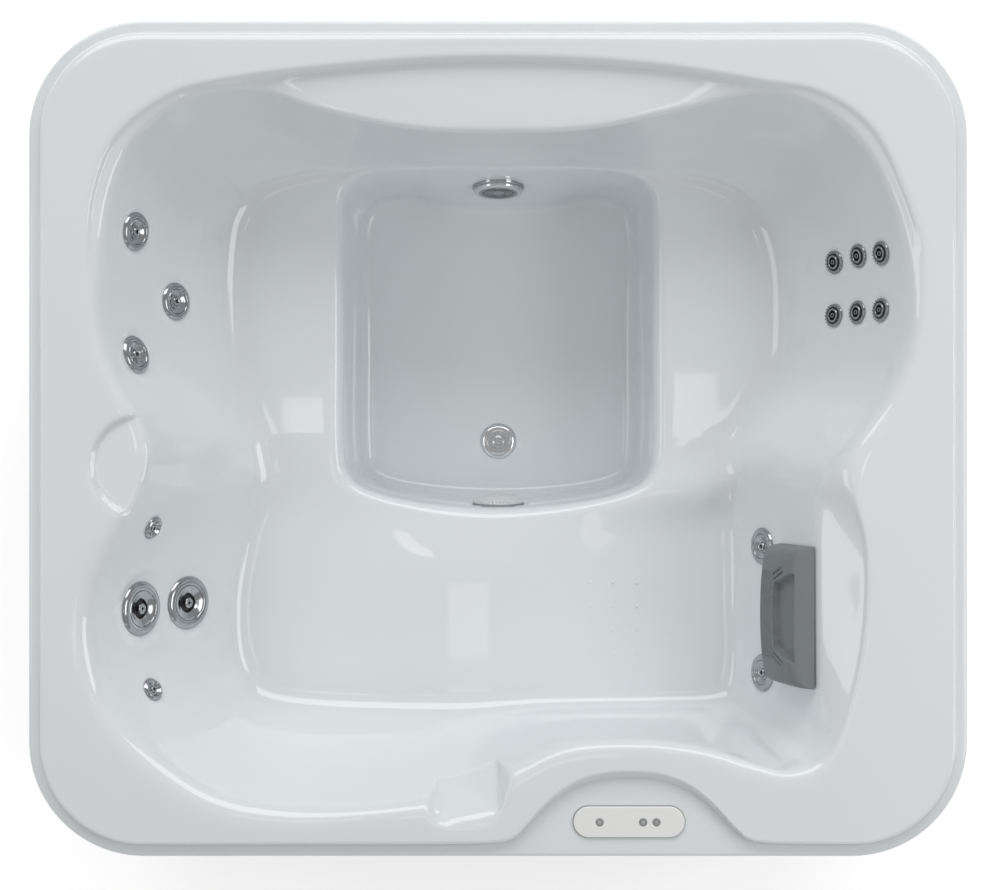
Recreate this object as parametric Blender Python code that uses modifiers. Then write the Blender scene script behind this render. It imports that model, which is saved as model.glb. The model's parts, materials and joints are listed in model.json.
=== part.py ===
"""Acrylic hot tub: a vacuum-formed shell on a cabinet, with its jets, fittings, pillow, controls and pump set.

The origin is on the floor under the middle of the tub. +Z is up, and the control panel is at the front, on -Y.
The shell is a loft through closed rings about one pole over the footwell, so every height is a function of
place, and the fittings read their seats from the same function.
"""
import math

import bmesh
import bpy
import numpy as np
from mathutils import Matrix, Vector

# Overall sizes, metres
TUB_LENGTH = 1.910
TUB_WIDTH = 1.700
RIM_HEIGHT = 0.760
CORNER_RADIUS = 0.235
HALF_LENGTH = TUB_LENGTH / 2
HALF_WIDTH = TUB_WIDTH / 2
FIT_GAP = 0.0003
CUT_OVERRUN = 0.02

# Shell sheet and its levels
SHELL_WALL = 0.008
FLANGE_WIDTH = 0.025
FLANGE_DROP = 0.025
RIM_STEP_WIDTH = 0.007
SKIRT_DEPTH = 0.035
LEDGE_DROP = 0.034
HEADREST_DROP = 0.060
WALL_TOP_DROP = 0.020
LEDGE_STEP_WIDTH = 0.010
SEAT_HEIGHT = 0.400
LOUNGER_DROP = 0.015
FOOTWELL_FLOOR_HEIGHT = 0.100

# Plan sizes of the hollows, as shares of the tub's half length along X and half width along Y
SEAT_LENGTH_SHARE = 0.6335
SEAT_WIDTH_SHARE = 0.7176
FOOTWELL_LENGTH_SHARE = 0.3665
FOOTWELL_WIDTH_SHARE = 0.4471
FOOTWELL_Y_SHARE = 0.2612
POLE_Y_SHARE = 0.1176
FOOTWELL_DRAFT_X = 0.024
FOOTWELL_DRAFT_Y = 0.022
SEAT_LEVEL_HALF_LENGTH = HALF_LENGTH * SEAT_LENGTH_SHARE
SEAT_LEVEL_HALF_WIDTH = HALF_WIDTH * SEAT_WIDTH_SHARE
FOOTWELL_TOP_HALF_LENGTH = HALF_LENGTH * FOOTWELL_LENGTH_SHARE
FOOTWELL_TOP_HALF_WIDTH = HALF_WIDTH * FOOTWELL_WIDTH_SHARE
FOOTWELL_FLOOR_HALF_LENGTH = FOOTWELL_TOP_HALF_LENGTH - FOOTWELL_DRAFT_X
FOOTWELL_FLOOR_HALF_WIDTH = FOOTWELL_TOP_HALF_WIDTH - FOOTWELL_DRAFT_Y
FOOTWELL_Y = HALF_WIDTH * FOOTWELL_Y_SHARE
POLE_Y = HALF_WIDTH * POLE_Y_SHARE

# Rounding lengths of the shell's rings
FLOOR_FILLET = 0.035
FOOTWELL_EDGE_FILLET = 0.030
SEAT_FILLET = 0.055
WALL_KNEE_FILLET = 0.120
WALL_TOP_FILLET = 0.014
RIM_INNER_FILLET = 0.010
RIM_OUTER_FILLET = 0.006
FLANGE_FILLET = 0.003
LIP_FILLET = 0.010
WALL_KNEE_PLAN_SHARE = 0.50
WALL_KNEE_RISE_SHARE = 0.34

# Control notch: the bell-shaped bay in the raised rim at the front
NOTCH_X_SHARE = 0.2785
NOTCH_X = HALF_LENGTH * NOTCH_X_SHARE
NOTCH_HALF_WIDTH = 0.228
NOTCH_DEPTH = 0.134
NOTCH_POWER = 2.6
NOTCH_SOFTNESS = 0.06

# Where the rear ledge, the headrest facet, the lounger and its knee begin and end
LEDGE_X_SHARES = (0.48, 0.62)
LEDGE_Y_SHARES = (0.62, 0.70)
HEADREST_X_SHARES = (0.62, 0.66)
HEADREST_FRONT_SHARES = (-0.84, -0.70)
HEADREST_REAR_SHARES = (-0.16, -0.02)
LOUNGER_REAR_SHARES = (-0.22, 0.02)
KNEE_REAR_SHARES = (-0.34, -0.16)

# Low forms pressed into the shell
KNEE_X_SHARE = -0.090
KNEE_X = HALF_LENGTH * KNEE_X_SHARE
KNEE_HALF_WIDTH = 0.120
KNEE_RISE = 0.030
RIDGE_RISE = 0.040
RIDGE_HALF_WIDTH = 0.040
SCOOP_DEPTH = 0.020
LEFT_SCOOP_HALF_LENGTH = 0.058
LEFT_SCOOP_HALF_WIDTH = 0.106
FRONT_SCOOP_HALF_LENGTH = 0.076
FRONT_SCOOP_HALF_WIDTH = 0.072
SCOOP_POWER = 4.0
SCOOP_EDGE_SHARE = 0.22

# How finely the shell's ten rounded rings are drawn, and how finely its height is read
SHELL_FILLET_STEPS = [1, 1, 2, 2, 1, 0, 1, 1, 1, 1]
FINE_FILLET_STEPS = [8] * 10

# Cabinet
PAN_INSET = 0.020
PAN_HEIGHT = 0.030
PEDESTAL_INSET = 0.076
PEDESTAL_CLEARANCE = 0.003
PANEL_INSET = 0.011
PANEL_WALL = 0.012
PANEL_TOP_GAP = 0.002
LEG_WIDTH = 0.045
LEG_DEPTH = 0.055
RAIL_DEPTH = 0.060
RAIL_TOP_GAP = 0.006
RAIL_WIDTH = 0.022
RAIL_INSET = 0.046
FRONT_RAIL_DROP = 0.0505
POST_ARC_STEPS = 8

# Jets: flange radii and the parts of one jet
LARGE_JET_RADIUS = 0.058
MEDIUM_JET_RADIUS = 0.041
SMALL_JET_RADIUS = 0.0255
JET_SINK = 0.002
JET_FLANGE_WALL = 0.005
JET_BODY_DEPTH = 0.055
JET_BARB_LENGTH = 0.020
JET_BARB_RADIUS = 0.010
JET_FACE_RISE = 0.003
JET_FACE_DEPTH = 0.030
JET_RECESS_DEPTH = 0.014
JET_HOLE_SHARE = 0.74
JET_BORE_SHARE = 0.66
JET_RECESS_SHARE = 0.36
JET_NOZZLE_SHARE = 0.14
NOZZLE_WALL = 0.0015
NOZZLE_STEPS = 6
TURN_GAP = 0.0005

# Fittings of the footwell
SUCTION_RADIUS = 0.060
SUCTION_HEIGHT = 0.262
SUCTION_RISE = 0.016
GRILLE_EDGE = 0.0015
FLOOR_FITTING_RADIUS = 0.043
FLOOR_FITTING_SHARE = 0.6313
FLOOR_FITTING_Y = FOOTWELL_Y - FOOTWELL_FLOOR_HALF_WIDTH * FLOOR_FITTING_SHARE
LIGHT_RADIUS = 0.060
LIGHT_HEIGHT = 0.250
LIGHT_RISE = 0.012

# Controls
CONTROL_LENGTH = 0.226
CONTROL_WIDTH = 0.063
CONTROL_WALL = 0.006
CONTROL_INSET = 0.072
CONTROL_Y = CONTROL_INSET - HALF_WIDTH
CONTROL_BODY_LENGTH = 0.170
CONTROL_BODY_WIDTH = 0.044
CONTROL_BODY_DEPTH = 0.020
BUTTON_RADIUS = 0.008
BUTTON_HEIGHT = 0.0035
BUTTON_RISE = 0.0012
BUTTON_TRAVEL = 0.0015
BUTTON_X_SHARES = (-0.53, 0.25, 0.49)
BUTTON_SIDES = 16
ROUND_END_STEPS = 8

# Pillow, in its own directions: along Y, up the wall, and off the wall
PILLOW_LENGTH = 0.292
PILLOW_HEIGHT = 0.150
PILLOW_DEPTH = 0.058
PILLOW_Y_SHARE = -0.4306
PILLOW_TOP_DROP = 0.078
PILLOW_LOW_DROP = 0.200
PILLOW_GAP = 0.0008
PILLOW_EDGE = 0.004
PILLOW_CROWN = 0.014
PILLOW_CORNER_POWER = 8
PILLOW_EDGE_POWER = 0.30
PILLOW_BOW_SHARE = 0.16
PILLOW_COLUMNS = 18
PILLOW_ROWS = 12
PILLOW_TEST_SHARES = (-1, -0.75, -0.5, -0.25, 0, 0.25, 0.5, 0.75, 1)
RECESS_DEPTH = 0.016
RECESS_LIFT_SHARE = 0.10
RECESS_HEIGHT_SHARE = 1.6
RECESS_REACH_SHARES = (0.62, 0.46)
RECESS_TOP_SHARES = (-0.62, -0.30)
RECESS_BEND_SHARE = 0.28

# Equipment under the lounger
PUMP_Y_SHARE = -0.5294
PUMP_Y = HALF_WIDTH * PUMP_Y_SHARE
PUMP_HEIGHT = 0.150
VOLUTE_RADIUS = 0.085
VOLUTE_LENGTH = 0.060
VOLUTE_WALL = 0.008
PORT_RADIUS = 0.036
PORT_LENGTH = 0.050
PORT_WALL = 0.006
SHAFT_RADIUS = 0.008
SHAFT_CLEARANCE = 0.004
IMPELLER_RADIUS = 0.066
IMPELLER_WIDTH = 0.026
MOTOR_RADIUS = 0.078
MOTOR_LENGTH = 0.260
MOTOR_WALL = 0.008
ROTOR_RADIUS = 0.046
ROTOR_LENGTH = 0.150
FOOT_WIDTH = 0.120
FOOT_LENGTH = 0.180
HEATER_RADIUS = 0.028
HEATER_LENGTH = 0.380
HEATER_HEIGHT = 0.270
FILTER_RADIUS = 0.090
FILTER_HEIGHT = 0.240
FILTER_WALL = 0.006
CARTRIDGE_RADIUS = 0.066
CARTRIDGE_BORE = 0.025
LID_HEIGHT = 0.022
BOX_LENGTH = 0.280
BOX_WIDTH = 0.110
BOX_HEIGHT = 0.200
BOX_INSET_X = 0.455
BOX_INSET_Y = 0.230
BOX_X = BOX_INSET_X - HALF_LENGTH
BOX_Y = BOX_INSET_Y - HALF_WIDTH
DRAIN_RADIUS = 0.022
DRAIN_LENGTH = 0.070
DRAIN_FROM_BOX = 0.060
DRAIN_INSET_Y = 0.150
DRAIN_X = BOX_X + BOX_LENGTH / 2 + DRAIN_FROM_BOX
DRAIN_Y = DRAIN_INSET_Y - HALF_WIDTH
PIPE_RADIUS = 0.024
PIPE_END_GAP = 0.0009
PUMP_SIDES = 20
ROTOR_SIDES = 16
STUB_SIDES = 12
FILTER_SIDES = 24

# Closed rings of the shell, as shares of the half sizes that they follow
FOOTWELL_FLOOR_SHARES = [
    (0, 0.94), (0.35, 0.95), (0.62, 1.0), (0.85, 0.98), (0.97, 0.88), (1, 0.68), (1, 0), (1, -0.60), (0.96, -0.82),
    (0.80, -0.92), (0.42, -0.98), (0, -1), (-0.42, -0.98), (-0.80, -0.92), (-0.96, -0.82), (-1, -0.60), (-1, 0),
    (-1, 0.68), (-0.97, 0.88), (-0.85, 0.98), (-0.62, 1.0), (-0.35, 0.95),
]
FOOTWELL_TOP_SHARES = [
    (0, 1), (0.50, 1), (0.80, 0.98), (0.95, 0.91), (1, 0.74), (1, 0), (1, -0.60), (0.96, -0.80), (0.80, -0.90),
    (0.45, -0.97), (0, -1), (-0.45, -0.97), (-0.80, -0.90), (-0.96, -0.80), (-1, -0.60), (-1, 0), (-1, 0.74),
    (-0.95, 0.91), (-0.80, 0.98), (-0.50, 1),
]
SEAT_LEVEL_SHARES = [
    (0, 1.0), (-0.37, 1.0), (-0.66, 0.975), (-0.86, 0.91), (-0.95, 0.79), (-0.975, 0.62), (-0.97, 0.37),
    (-0.94, 0.14), (-0.88, -0.03), (-0.86, -0.17), (-0.92, -0.38), (-0.957, -0.60), (-0.945, -0.80),
    (-0.86, -0.93), (-0.63, -0.97), (-0.19, -0.98), (0.23, -0.98), (0.58, -0.975), (0.80, -0.955),
    (0.87, -0.875), (0.875, -0.60), (0.87, -0.34), (0.86, -0.17), (0.86, -0.04), (0.91, 0.07), (0.987, 0.22),
    (1.008, 0.44), (0.997, 0.66), (0.92, 0.835), (0.755, 0.945), (0.456, 0.985), (0.23, 1.0),
]
WALL_TOP_SHARES = [
    (0, 0.735), (-0.187, 0.744), (-0.368, 0.785), (-0.528, 0.838), (-0.677, 0.802), (-0.783, 0.701),
    (-0.830, 0.570), (-0.843, 0.427), (-0.840, 0.283), (-0.815, 0.164), (-0.762, 0.056), (-0.740, -0.039),
    (-0.762, -0.147), (-0.809, -0.254), (-0.851, -0.362), (-0.864, -0.481), (-0.830, -0.625), (-0.740, -0.744),
    (-0.602, -0.845), (-0.443, -0.878), (-0.251, -0.871), (-0.070, -0.840), (0.036, -0.780), (0.153, -0.725),
    (0.302, -0.716), (0.430, -0.732), (0.526, -0.763), (0.611, -0.787), (0.668, -0.745), (0.687, -0.661),
    (0.687, -0.434), (0.687, -0.171), (0.698, -0.094), (0.749, -0.016), (0.834, 0.121), (0.872, 0.259),
    (0.872, 0.427), (0.840, 0.570), (0.770, 0.713), (0.668, 0.799), (0.547, 0.828), (0.377, 0.785),
    (0.196, 0.744),
]
RIM_INNER_SHARES = [
    (0, 0.907), (-0.166, 0.902), (-0.351, 0.885), (-0.528, 0.862), (-0.687, 0.826), (-0.809, 0.725),
    (-0.860, 0.594), (-0.874, 0.450), (-0.872, 0.283), (-0.851, 0.176), (-0.800, 0.063), (-0.779, -0.039),
    (-0.800, -0.147), (-0.847, -0.231), (-0.902, -0.350), (-0.917, -0.481), (-0.879, -0.630), (-0.772, -0.780),
    (-0.623, -0.888), (-0.453, -0.921), (-0.251, -0.907), (-0.070, -0.878), (0.036, -0.823), (0.143, -0.761),
    (0.302, -0.744), (0.430, -0.761), (0.557, -0.804), (0.643, -0.809), (0.706, -0.756), (0.745, -0.649),
    (0.774, -0.505), (0.785, -0.355), (0.779, -0.243), (0.757, -0.123), (0.787, -0.039), (0.872, 0.092),
    (0.915, 0.259), (0.906, 0.427), (0.866, 0.582), (0.796, 0.737), (0.685, 0.826), (0.547, 0.852),
    (0.360, 0.885), (0.174, 0.902),
]
RIDGE_SHARES = [(0.10, -0.18), (0.47, -0.13), (0.62, -0.06), (0.70, 0.04)]
LEFT_SCOOP_SHARES = (-0.822, -0.056)
FRONT_SCOOP_SHARES = (-0.062, -0.820)

# How finely the shell is drawn
SPLINE_STEPS = 10
CORNER_STEPS = 6
LONG_SIDE_STEPS = 12
SHORT_SIDE_STEPS = 10
NOTCH_SPOKE_SHARES = (-1.1, -0.85, -0.62, 0.55, 0.80, 1.0)
OUTLINE_CORNER_STEPS = 24
NOTCH_SIDE_STEPS = 160
OUTLINE_SIDE_STEPS = 60
SEARCH_STEPS = 40


def rounded_rectangle(half_length, half_width, radius, corner_steps, long_steps, short_steps):
    """Points of a rounded rectangle, anticlockwise, with its sides divided."""
    points = []
    corners = [(1, 1, 0), (-1, 1, 90), (-1, -1, 180), (1, -1, 270)]
    sides = [long_steps, short_steps, long_steps, short_steps]
    for (sign_x, sign_y, start), steps in zip(corners, sides):
        centre = (sign_x * (half_length - radius), sign_y * (half_width - radius))
        for i in range(corner_steps + 1):
            angle = math.radians(start + 90 * i / corner_steps)
            points.append((centre[0] + radius * math.cos(angle), centre[1] + radius * math.sin(angle)))
        last = points[-1]
        run = half_length - radius if start in (0, 180) else half_width - radius
        turn = math.radians(start + 180)
        for i in range(1, steps):
            step = 2 * run * i / steps
            points.append((last[0] + step * math.cos(turn), last[1] + step * math.sin(turn)))
    return points


def smooth_closed(points, steps):
    """A closed Catmull-Rom curve through the points."""
    p = np.array(points, float)
    before, after, beyond = np.roll(p, 1, 0), np.roll(p, -1, 0), np.roll(p, -2, 0)
    rows = []
    for t in np.arange(steps) / steps:
        rows.append(
            p
            + (after - before) * t / 2
            + (2 * before - 5 * p + 4 * after - beyond) * t**2 / 2
            + (3 * p - before - 3 * after + beyond) * t**3 / 2
        )
    return np.stack(rows, 1).reshape(-1, 2)


class Ring:
    """One closed ring of the shell, as its distance from the pole in each direction."""

    def __init__(self, points):
        p = np.array(points, float) - (0, POLE_Y)
        angle = np.arctan2(p[:, 1], p[:, 0])
        order = np.argsort(angle)
        self.angle = angle[order]
        self.radius = np.hypot(p[:, 0], p[:, 1])[order]

    def __call__(self, angle):
        return np.interp(angle, self.angle, self.radius, period=2 * math.pi)


def scaled(shares, half_length, half_width, centre_y=0.0):
    """Points of a table of shares, at their real places."""
    return [(x * half_length, centre_y + y * half_width) for x, y in shares]


def notch_depth(x):
    """How far the raised rim draws back from the front edge at x."""
    share = np.abs(x - NOTCH_X) / NOTCH_HALF_WIDTH
    bell = 1 - share**NOTCH_POWER
    return NOTCH_DEPTH * (bell + np.sqrt(bell**2 + NOTCH_SOFTNESS)) / (1 + math.sqrt(1 + NOTCH_SOFTNESS))


def rim_outer_points(inset):
    """The raised rim's outer edge: the lip's outline set in, with the control notch at the front."""
    outline = rounded_rectangle(
        HALF_LENGTH - inset, HALF_WIDTH - inset, CORNER_RADIUS - inset, OUTLINE_CORNER_STEPS, NOTCH_SIDE_STEPS,
        OUTLINE_SIDE_STEPS,
    )
    return [(x, y + (notch_depth(x) if y < 0 else 0)) for x, y in outline]


FLOOR_RING = Ring(
    smooth_closed(
        scaled(FOOTWELL_FLOOR_SHARES, FOOTWELL_FLOOR_HALF_LENGTH, FOOTWELL_FLOOR_HALF_WIDTH, FOOTWELL_Y),
        SPLINE_STEPS,
    )
)
FOOTWELL_RING = Ring(
    smooth_closed(
        scaled(FOOTWELL_TOP_SHARES, FOOTWELL_TOP_HALF_LENGTH, FOOTWELL_TOP_HALF_WIDTH, FOOTWELL_Y), SPLINE_STEPS
    )
)
SEAT_RING = Ring(
    smooth_closed(scaled(SEAT_LEVEL_SHARES, SEAT_LEVEL_HALF_LENGTH, SEAT_LEVEL_HALF_WIDTH), SPLINE_STEPS)
)
WALL_TOP_RING = Ring(smooth_closed(scaled(WALL_TOP_SHARES, HALF_LENGTH, HALF_WIDTH), SPLINE_STEPS))
RIM_INNER_RING = Ring(smooth_closed(scaled(RIM_INNER_SHARES, HALF_LENGTH, HALF_WIDTH), SPLINE_STEPS))
RIM_OUTER_RING = Ring(rim_outer_points(FLANGE_WIDTH + RIM_STEP_WIDTH))
FLANGE_RING = Ring(rim_outer_points(FLANGE_WIDTH))
LIP_RING = Ring(
    rounded_rectangle(
        HALF_LENGTH, HALF_WIDTH, CORNER_RADIUS, OUTLINE_CORNER_STEPS, OUTLINE_SIDE_STEPS, OUTLINE_SIDE_STEPS
    )
)


def smooth_step(low, high, value):
    """0 below low, 1 above high, and an S-curve between."""
    t = np.clip((value - low) / (high - low), 0, 1)
    return t * t * (3 - 2 * t)


def wall_top_zones(x, y):
    """Shares of the rear ledge and of the headrest facet at a place on the wall's top."""
    x_share, y_share = x / HALF_LENGTH, y / HALF_WIDTH
    ledge = smooth_step(*LEDGE_Y_SHARES, y_share) * (1 - smooth_step(*LEDGE_X_SHARES, np.abs(x_share)))
    headrest = smooth_step(*HEADREST_X_SHARES, x_share) * (1 - smooth_step(*HEADREST_REAR_SHARES, y_share))
    return ledge, headrest * smooth_step(*HEADREST_FRONT_SHARES, y_share)


def seat_relief(x, y):
    """What the seats and the lounger add to the common seat level."""
    on_lounger = 1 - smooth_step(*LOUNGER_REAR_SHARES, y / HALF_WIDTH)
    under_knee = 1 - smooth_step(*KNEE_REAR_SHARES, y / HALF_WIDTH)
    knee = KNEE_RISE * np.exp(-(((x - KNEE_X) / KNEE_HALF_WIDTH) ** 2)) * under_knee
    ridge = np.zeros_like(x)
    points = scaled(RIDGE_SHARES, HALF_LENGTH, HALF_WIDTH)
    for (ax, ay), (bx, by) in zip(points, points[1:]):
        run = (bx - ax) ** 2 + (by - ay) ** 2
        t = np.clip(((x - ax) * (bx - ax) + (y - ay) * (by - ay)) / run, 0, 1)
        away = np.hypot(x - ax - t * (bx - ax), y - ay - t * (by - ay))
        ridge = np.maximum(ridge, np.exp(-((away / RIDGE_HALF_WIDTH) ** 2)))
    start = smooth_step(points[0][0], points[1][0], x)
    return knee + RIDGE_RISE * ridge * start - LOUNGER_DROP * on_lounger


def scoop_relief(x, y):
    """The two shallow dishes pressed into the rim."""
    drop = np.zeros_like(x)
    for place, half_length, half_width in (
        (LEFT_SCOOP_SHARES, LEFT_SCOOP_HALF_LENGTH, LEFT_SCOOP_HALF_WIDTH),
        (FRONT_SCOOP_SHARES, FRONT_SCOOP_HALF_LENGTH, FRONT_SCOOP_HALF_WIDTH),
    ):
        across = np.abs(x - place[0] * HALF_LENGTH) / half_length
        along = np.abs(y - place[1] * HALF_WIDTH) / half_width
        reach = (across**SCOOP_POWER + along**SCOOP_POWER) ** (1 / SCOOP_POWER)
        drop = np.maximum(drop, 1 - smooth_step(1 - SCOOP_EDGE_SHARE, 1, reach))
    return SCOOP_DEPTH * drop


def shell_profile(angle, fillet_steps, pole_step=0.0):
    """Distances from the pole and heights of the shell's surface, for an array of directions.

    fillet_steps gives each rounded ring's number of steps, in the order of the rings below.
    """
    angle = np.asarray(angle, float)
    away = {
        "floor": FLOOR_RING(angle),
        "footwell": FOOTWELL_RING(angle),
        "seat": SEAT_RING(angle),
        "wall_top": WALL_TOP_RING(angle),
        "rim_inner": RIM_INNER_RING(angle),
        "rim_outer": RIM_OUTER_RING(angle),
        "flange": FLANGE_RING(angle),
        "lip": LIP_RING(angle),
    }
    level = np.ones_like(angle)
    top_x = away["wall_top"] * np.cos(angle)
    top_y = POLE_Y + away["wall_top"] * np.sin(angle)
    ledge, headrest = wall_top_zones(top_x, top_y)
    drop = WALL_TOP_DROP + (LEDGE_DROP - WALL_TOP_DROP) * ledge + (HEADREST_DROP - WALL_TOP_DROP) * headrest
    knee = away["seat"] + (away["wall_top"] - away["seat"]) * WALL_KNEE_PLAN_SHARE
    knee_z = SEAT_HEIGHT + (RIM_HEIGHT - drop - SEAT_HEIGHT) * WALL_KNEE_RISE_SHARE
    step = away["rim_inner"] - LEDGE_STEP_WIDTH
    step_z = RIM_HEIGHT - WALL_TOP_DROP / 2 - (LEDGE_DROP - WALL_TOP_DROP) * ledge
    flange_z = RIM_HEIGHT - FLANGE_DROP
    corners = [
        (pole_step * level, FOOTWELL_FLOOR_HEIGHT * level, 0),
        (away["floor"], FOOTWELL_FLOOR_HEIGHT * level, FLOOR_FILLET),
        (away["footwell"], SEAT_HEIGHT * level, FOOTWELL_EDGE_FILLET),
        (away["seat"], SEAT_HEIGHT * level, SEAT_FILLET),
        (knee, knee_z, WALL_KNEE_FILLET),
        (away["wall_top"], RIM_HEIGHT - drop, WALL_TOP_FILLET),
        (step, step_z, LEDGE_STEP_WIDTH / 4),
        (away["rim_inner"], RIM_HEIGHT * level, RIM_INNER_FILLET),
        (away["rim_outer"], RIM_HEIGHT * level, RIM_OUTER_FILLET),
        (away["flange"], flange_z * level, FLANGE_FILLET),
        (away["lip"], flange_z * level, LIP_FILLET),
        (away["lip"], (flange_z - SKIRT_DEPTH) * level, 0),
    ]
    radii, heights = round_corners(corners, fillet_steps)
    x = radii * np.cos(angle)
    y = POLE_Y + radii * np.sin(angle)
    inner = np.clip((radii - away["floor"]) / (away["footwell"] - away["floor"]), 0, 1)
    outer = np.clip((away["wall_top"] - radii) / (away["wall_top"] - away["seat"]), 0, 1)
    heights = heights + seat_relief(x, y) * inner * outer
    above_wall = smooth_step(RIM_HEIGHT - 2 * HEADREST_DROP, RIM_HEIGHT - HEADREST_DROP, heights)
    inside_rim = (radii < away["rim_outer"]) * above_wall
    return radii, heights - scoop_relief(x, y) * inside_rim


def round_corners(corners, fillet_steps):
    """Rounds the corners of the profile, each over its own length, and stacks the rows."""
    rows = [(corners[0][0], corners[0][1])]
    for (r0, z0, _), (r1, z1, fillet), (r2, z2, _), steps in zip(corners, corners[1:], corners[2:], fillet_steps):
        back, ahead = np.hypot(r0 - r1, z0 - z1), np.hypot(r2 - r1, z2 - z1)
        a, b = np.minimum(fillet / back, 0.45), np.minimum(fillet / ahead, 0.45)
        for i in range(steps + 1):
            t = i / steps if steps else 0.5
            w0, w2 = a * (1 - t) ** 2, b * t**2
            rows.append((r1 + (r0 - r1) * w0 + (r2 - r1) * w2, z1 + (z0 - z1) * w0 + (z2 - z1) * w2))
    rows.append((corners[-1][0], corners[-1][1]))
    return np.stack([row[0] for row in rows]), np.stack([row[1] for row in rows])


def shell_height(x, y, fillet_steps=FINE_FILLET_STEPS):
    """The shell's height at one place in plan."""
    angle = math.atan2(y - POLE_Y, x)
    radii, heights = shell_profile([angle], fillet_steps)
    return float(np.interp(math.hypot(x, y - POLE_Y), radii[:, 0], heights[:, 0]))


def material(name, colour, roughness, metallic=0.0):
    """A Principled BSDF with the piece's colour and finish."""
    mat = bpy.data.materials.get(name) or bpy.data.materials.new(name)
    mat.use_nodes = True
    shader = mat.node_tree.nodes["Principled BSDF"]
    shader.inputs["Base Color"].default_value = (*colour, 1)
    shader.inputs["Roughness"].default_value = roughness
    shader.inputs["Metallic"].default_value = metallic
    return mat


def acrylic():
    return material("acrylic", (0.80, 0.83, 0.84), 0.12)


def chrome():
    return material("chrome", (0.62, 0.64, 0.65), 0.12, 1.0)


def dark_plastic():
    return material("dark_plastic", (0.09, 0.10, 0.11), 0.35)


def grey_plastic():
    return material("grey_plastic", (0.42, 0.44, 0.46), 0.45)


def cabinet_plastic():
    return material("cabinet_plastic", (0.20, 0.21, 0.22), 0.55)


def white_plastic():
    return material("white_plastic", (0.82, 0.83, 0.82), 0.30)


def foam():
    return material("pillow_foam", (0.19, 0.21, 0.22), 0.75)


def clear_plastic():
    return material("clear_plastic", (0.75, 0.78, 0.78), 0.10)


def steel():
    return material("steel", (0.55, 0.56, 0.57), 0.35, 1.0)


def filter_paper():
    return material("filter_paper", (0.85, 0.86, 0.84), 0.85)


def collection(name):
    """The named collection, linked to the scene."""
    found = bpy.data.collections.get(name)
    if not found:
        found = bpy.data.collections.new(name)
        bpy.context.scene.collection.children.link(found)
    return found


def place(name, mesh, mat, cutter=False):
    """A new object with its mesh and material, in the tub's collection or the cutters'."""
    obj = bpy.data.objects.new(name, mesh)
    collection("cutters" if cutter else "hot_tub").objects.link(obj)
    if cutter:
        obj.hide_render = True
        obj.display_type = "WIRE"
    if mat:
        mesh.materials.append(mat)
    return obj


def face_along(obj, location, direction):
    """Moves the object there, with its own +Z along the direction."""
    obj.location = location
    obj.rotation_euler = Vector(direction).to_track_quat("Z", "Y").to_euler()
    return obj


def turned(name, profile, mat, steps=20, cutter=False):
    """A turned solid: the profile, from the top down its outer side, swept round Z."""
    mesh = bpy.data.meshes.new(name)
    closed = profile[0][0] > 0
    count = len(profile)
    edges = [(i, i + 1) for i in range(count - 1)] + ([(count - 1, 0)] if closed else [])
    mesh.from_pydata([(r, 0, z) for r, z in profile], edges, [])
    obj = place(name, mesh, mat, cutter)
    screw = obj.modifiers.new("turn", "SCREW")
    screw.steps = screw.render_steps = steps
    screw.use_merge_vertices = True
    screw.merge_threshold = 1e-5
    return obj


def block(name, low, high, mat, cutter=False, edge=0.0):
    """A box between two corners, with its origin at its middle."""
    mesh = bpy.data.meshes.new(name)
    low, high = Vector(low), Vector(high)
    work = bmesh.new()
    bmesh.ops.create_cube(work, size=1)
    bmesh.ops.scale(work, vec=high - low, verts=work.verts)
    work.to_mesh(mesh)
    work.free()
    obj = place(name, mesh, mat, cutter)
    obj.location = (low + high) / 2
    if edge:
        bevel = obj.modifiers.new("edges", "BEVEL")
        bevel.width = edge
        bevel.segments = 1
    return obj


def solid_outline(name, points, low, high, mat, cutter=False):
    """A flat closed outline, extruded from one height to another, as a mesh."""
    curve = bpy.data.curves.new(name, "CURVE")
    curve.dimensions = "2D"
    curve.fill_mode = "BOTH"
    curve.extrude = (high - low) / 2
    spline = curve.splines.new("POLY")
    spline.points.add(len(points) - 1)
    for point, (x, y) in zip(spline.points, points):
        point.co = (x, y, 0, 1)
    spline.use_cyclic_u = True
    made = place(name + "_outline", curve, None, cutter)
    made.location = (0, 0, (low + high) / 2)
    obj = meshed(made, name, mat, cutter)
    return obj


def tube(name, points, radius, mat):
    """A round pipe through its route's points, with filled caps."""
    curve = bpy.data.curves.new(name, "CURVE")
    curve.dimensions = "3D"
    curve.bevel_depth = radius
    curve.bevel_resolution = 2
    curve.use_fill_caps = True
    spline = curve.splines.new("POLY")
    spline.points.add(len(points) - 1)
    for point, co in zip(spline.points, points):
        point.co = (*co, 1)
    return meshed(place(name + "_route", curve, None), name, mat)


def meshed(source, name, mat, cutter=False):
    """The source object's evaluated shape as a mesh object, in its place."""
    bpy.context.view_layer.update()
    seen = source.evaluated_get(bpy.context.evaluated_depsgraph_get())
    mesh = bpy.data.meshes.new_from_object(seen)
    matrix = source.matrix_world.copy()
    bpy.data.objects.remove(source)
    work = bmesh.new()
    work.from_mesh(mesh)
    bmesh.ops.remove_doubles(work, verts=work.verts, dist=1e-6)
    work.to_mesh(mesh)
    work.free()
    mesh.name = name
    mesh.materials.clear()
    obj = place(name, mesh, mat, cutter)
    obj.matrix_world = matrix
    return obj


def combine(obj, others, operation):
    """Joins the other objects to this one, or cuts them out of it."""
    for other in others:
        change = obj.modifiers.new(operation.lower() + "_" + other.name, "BOOLEAN")
        change.operation = operation
        change.object = other
        change.solver = "EXACT"
    return obj


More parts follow.
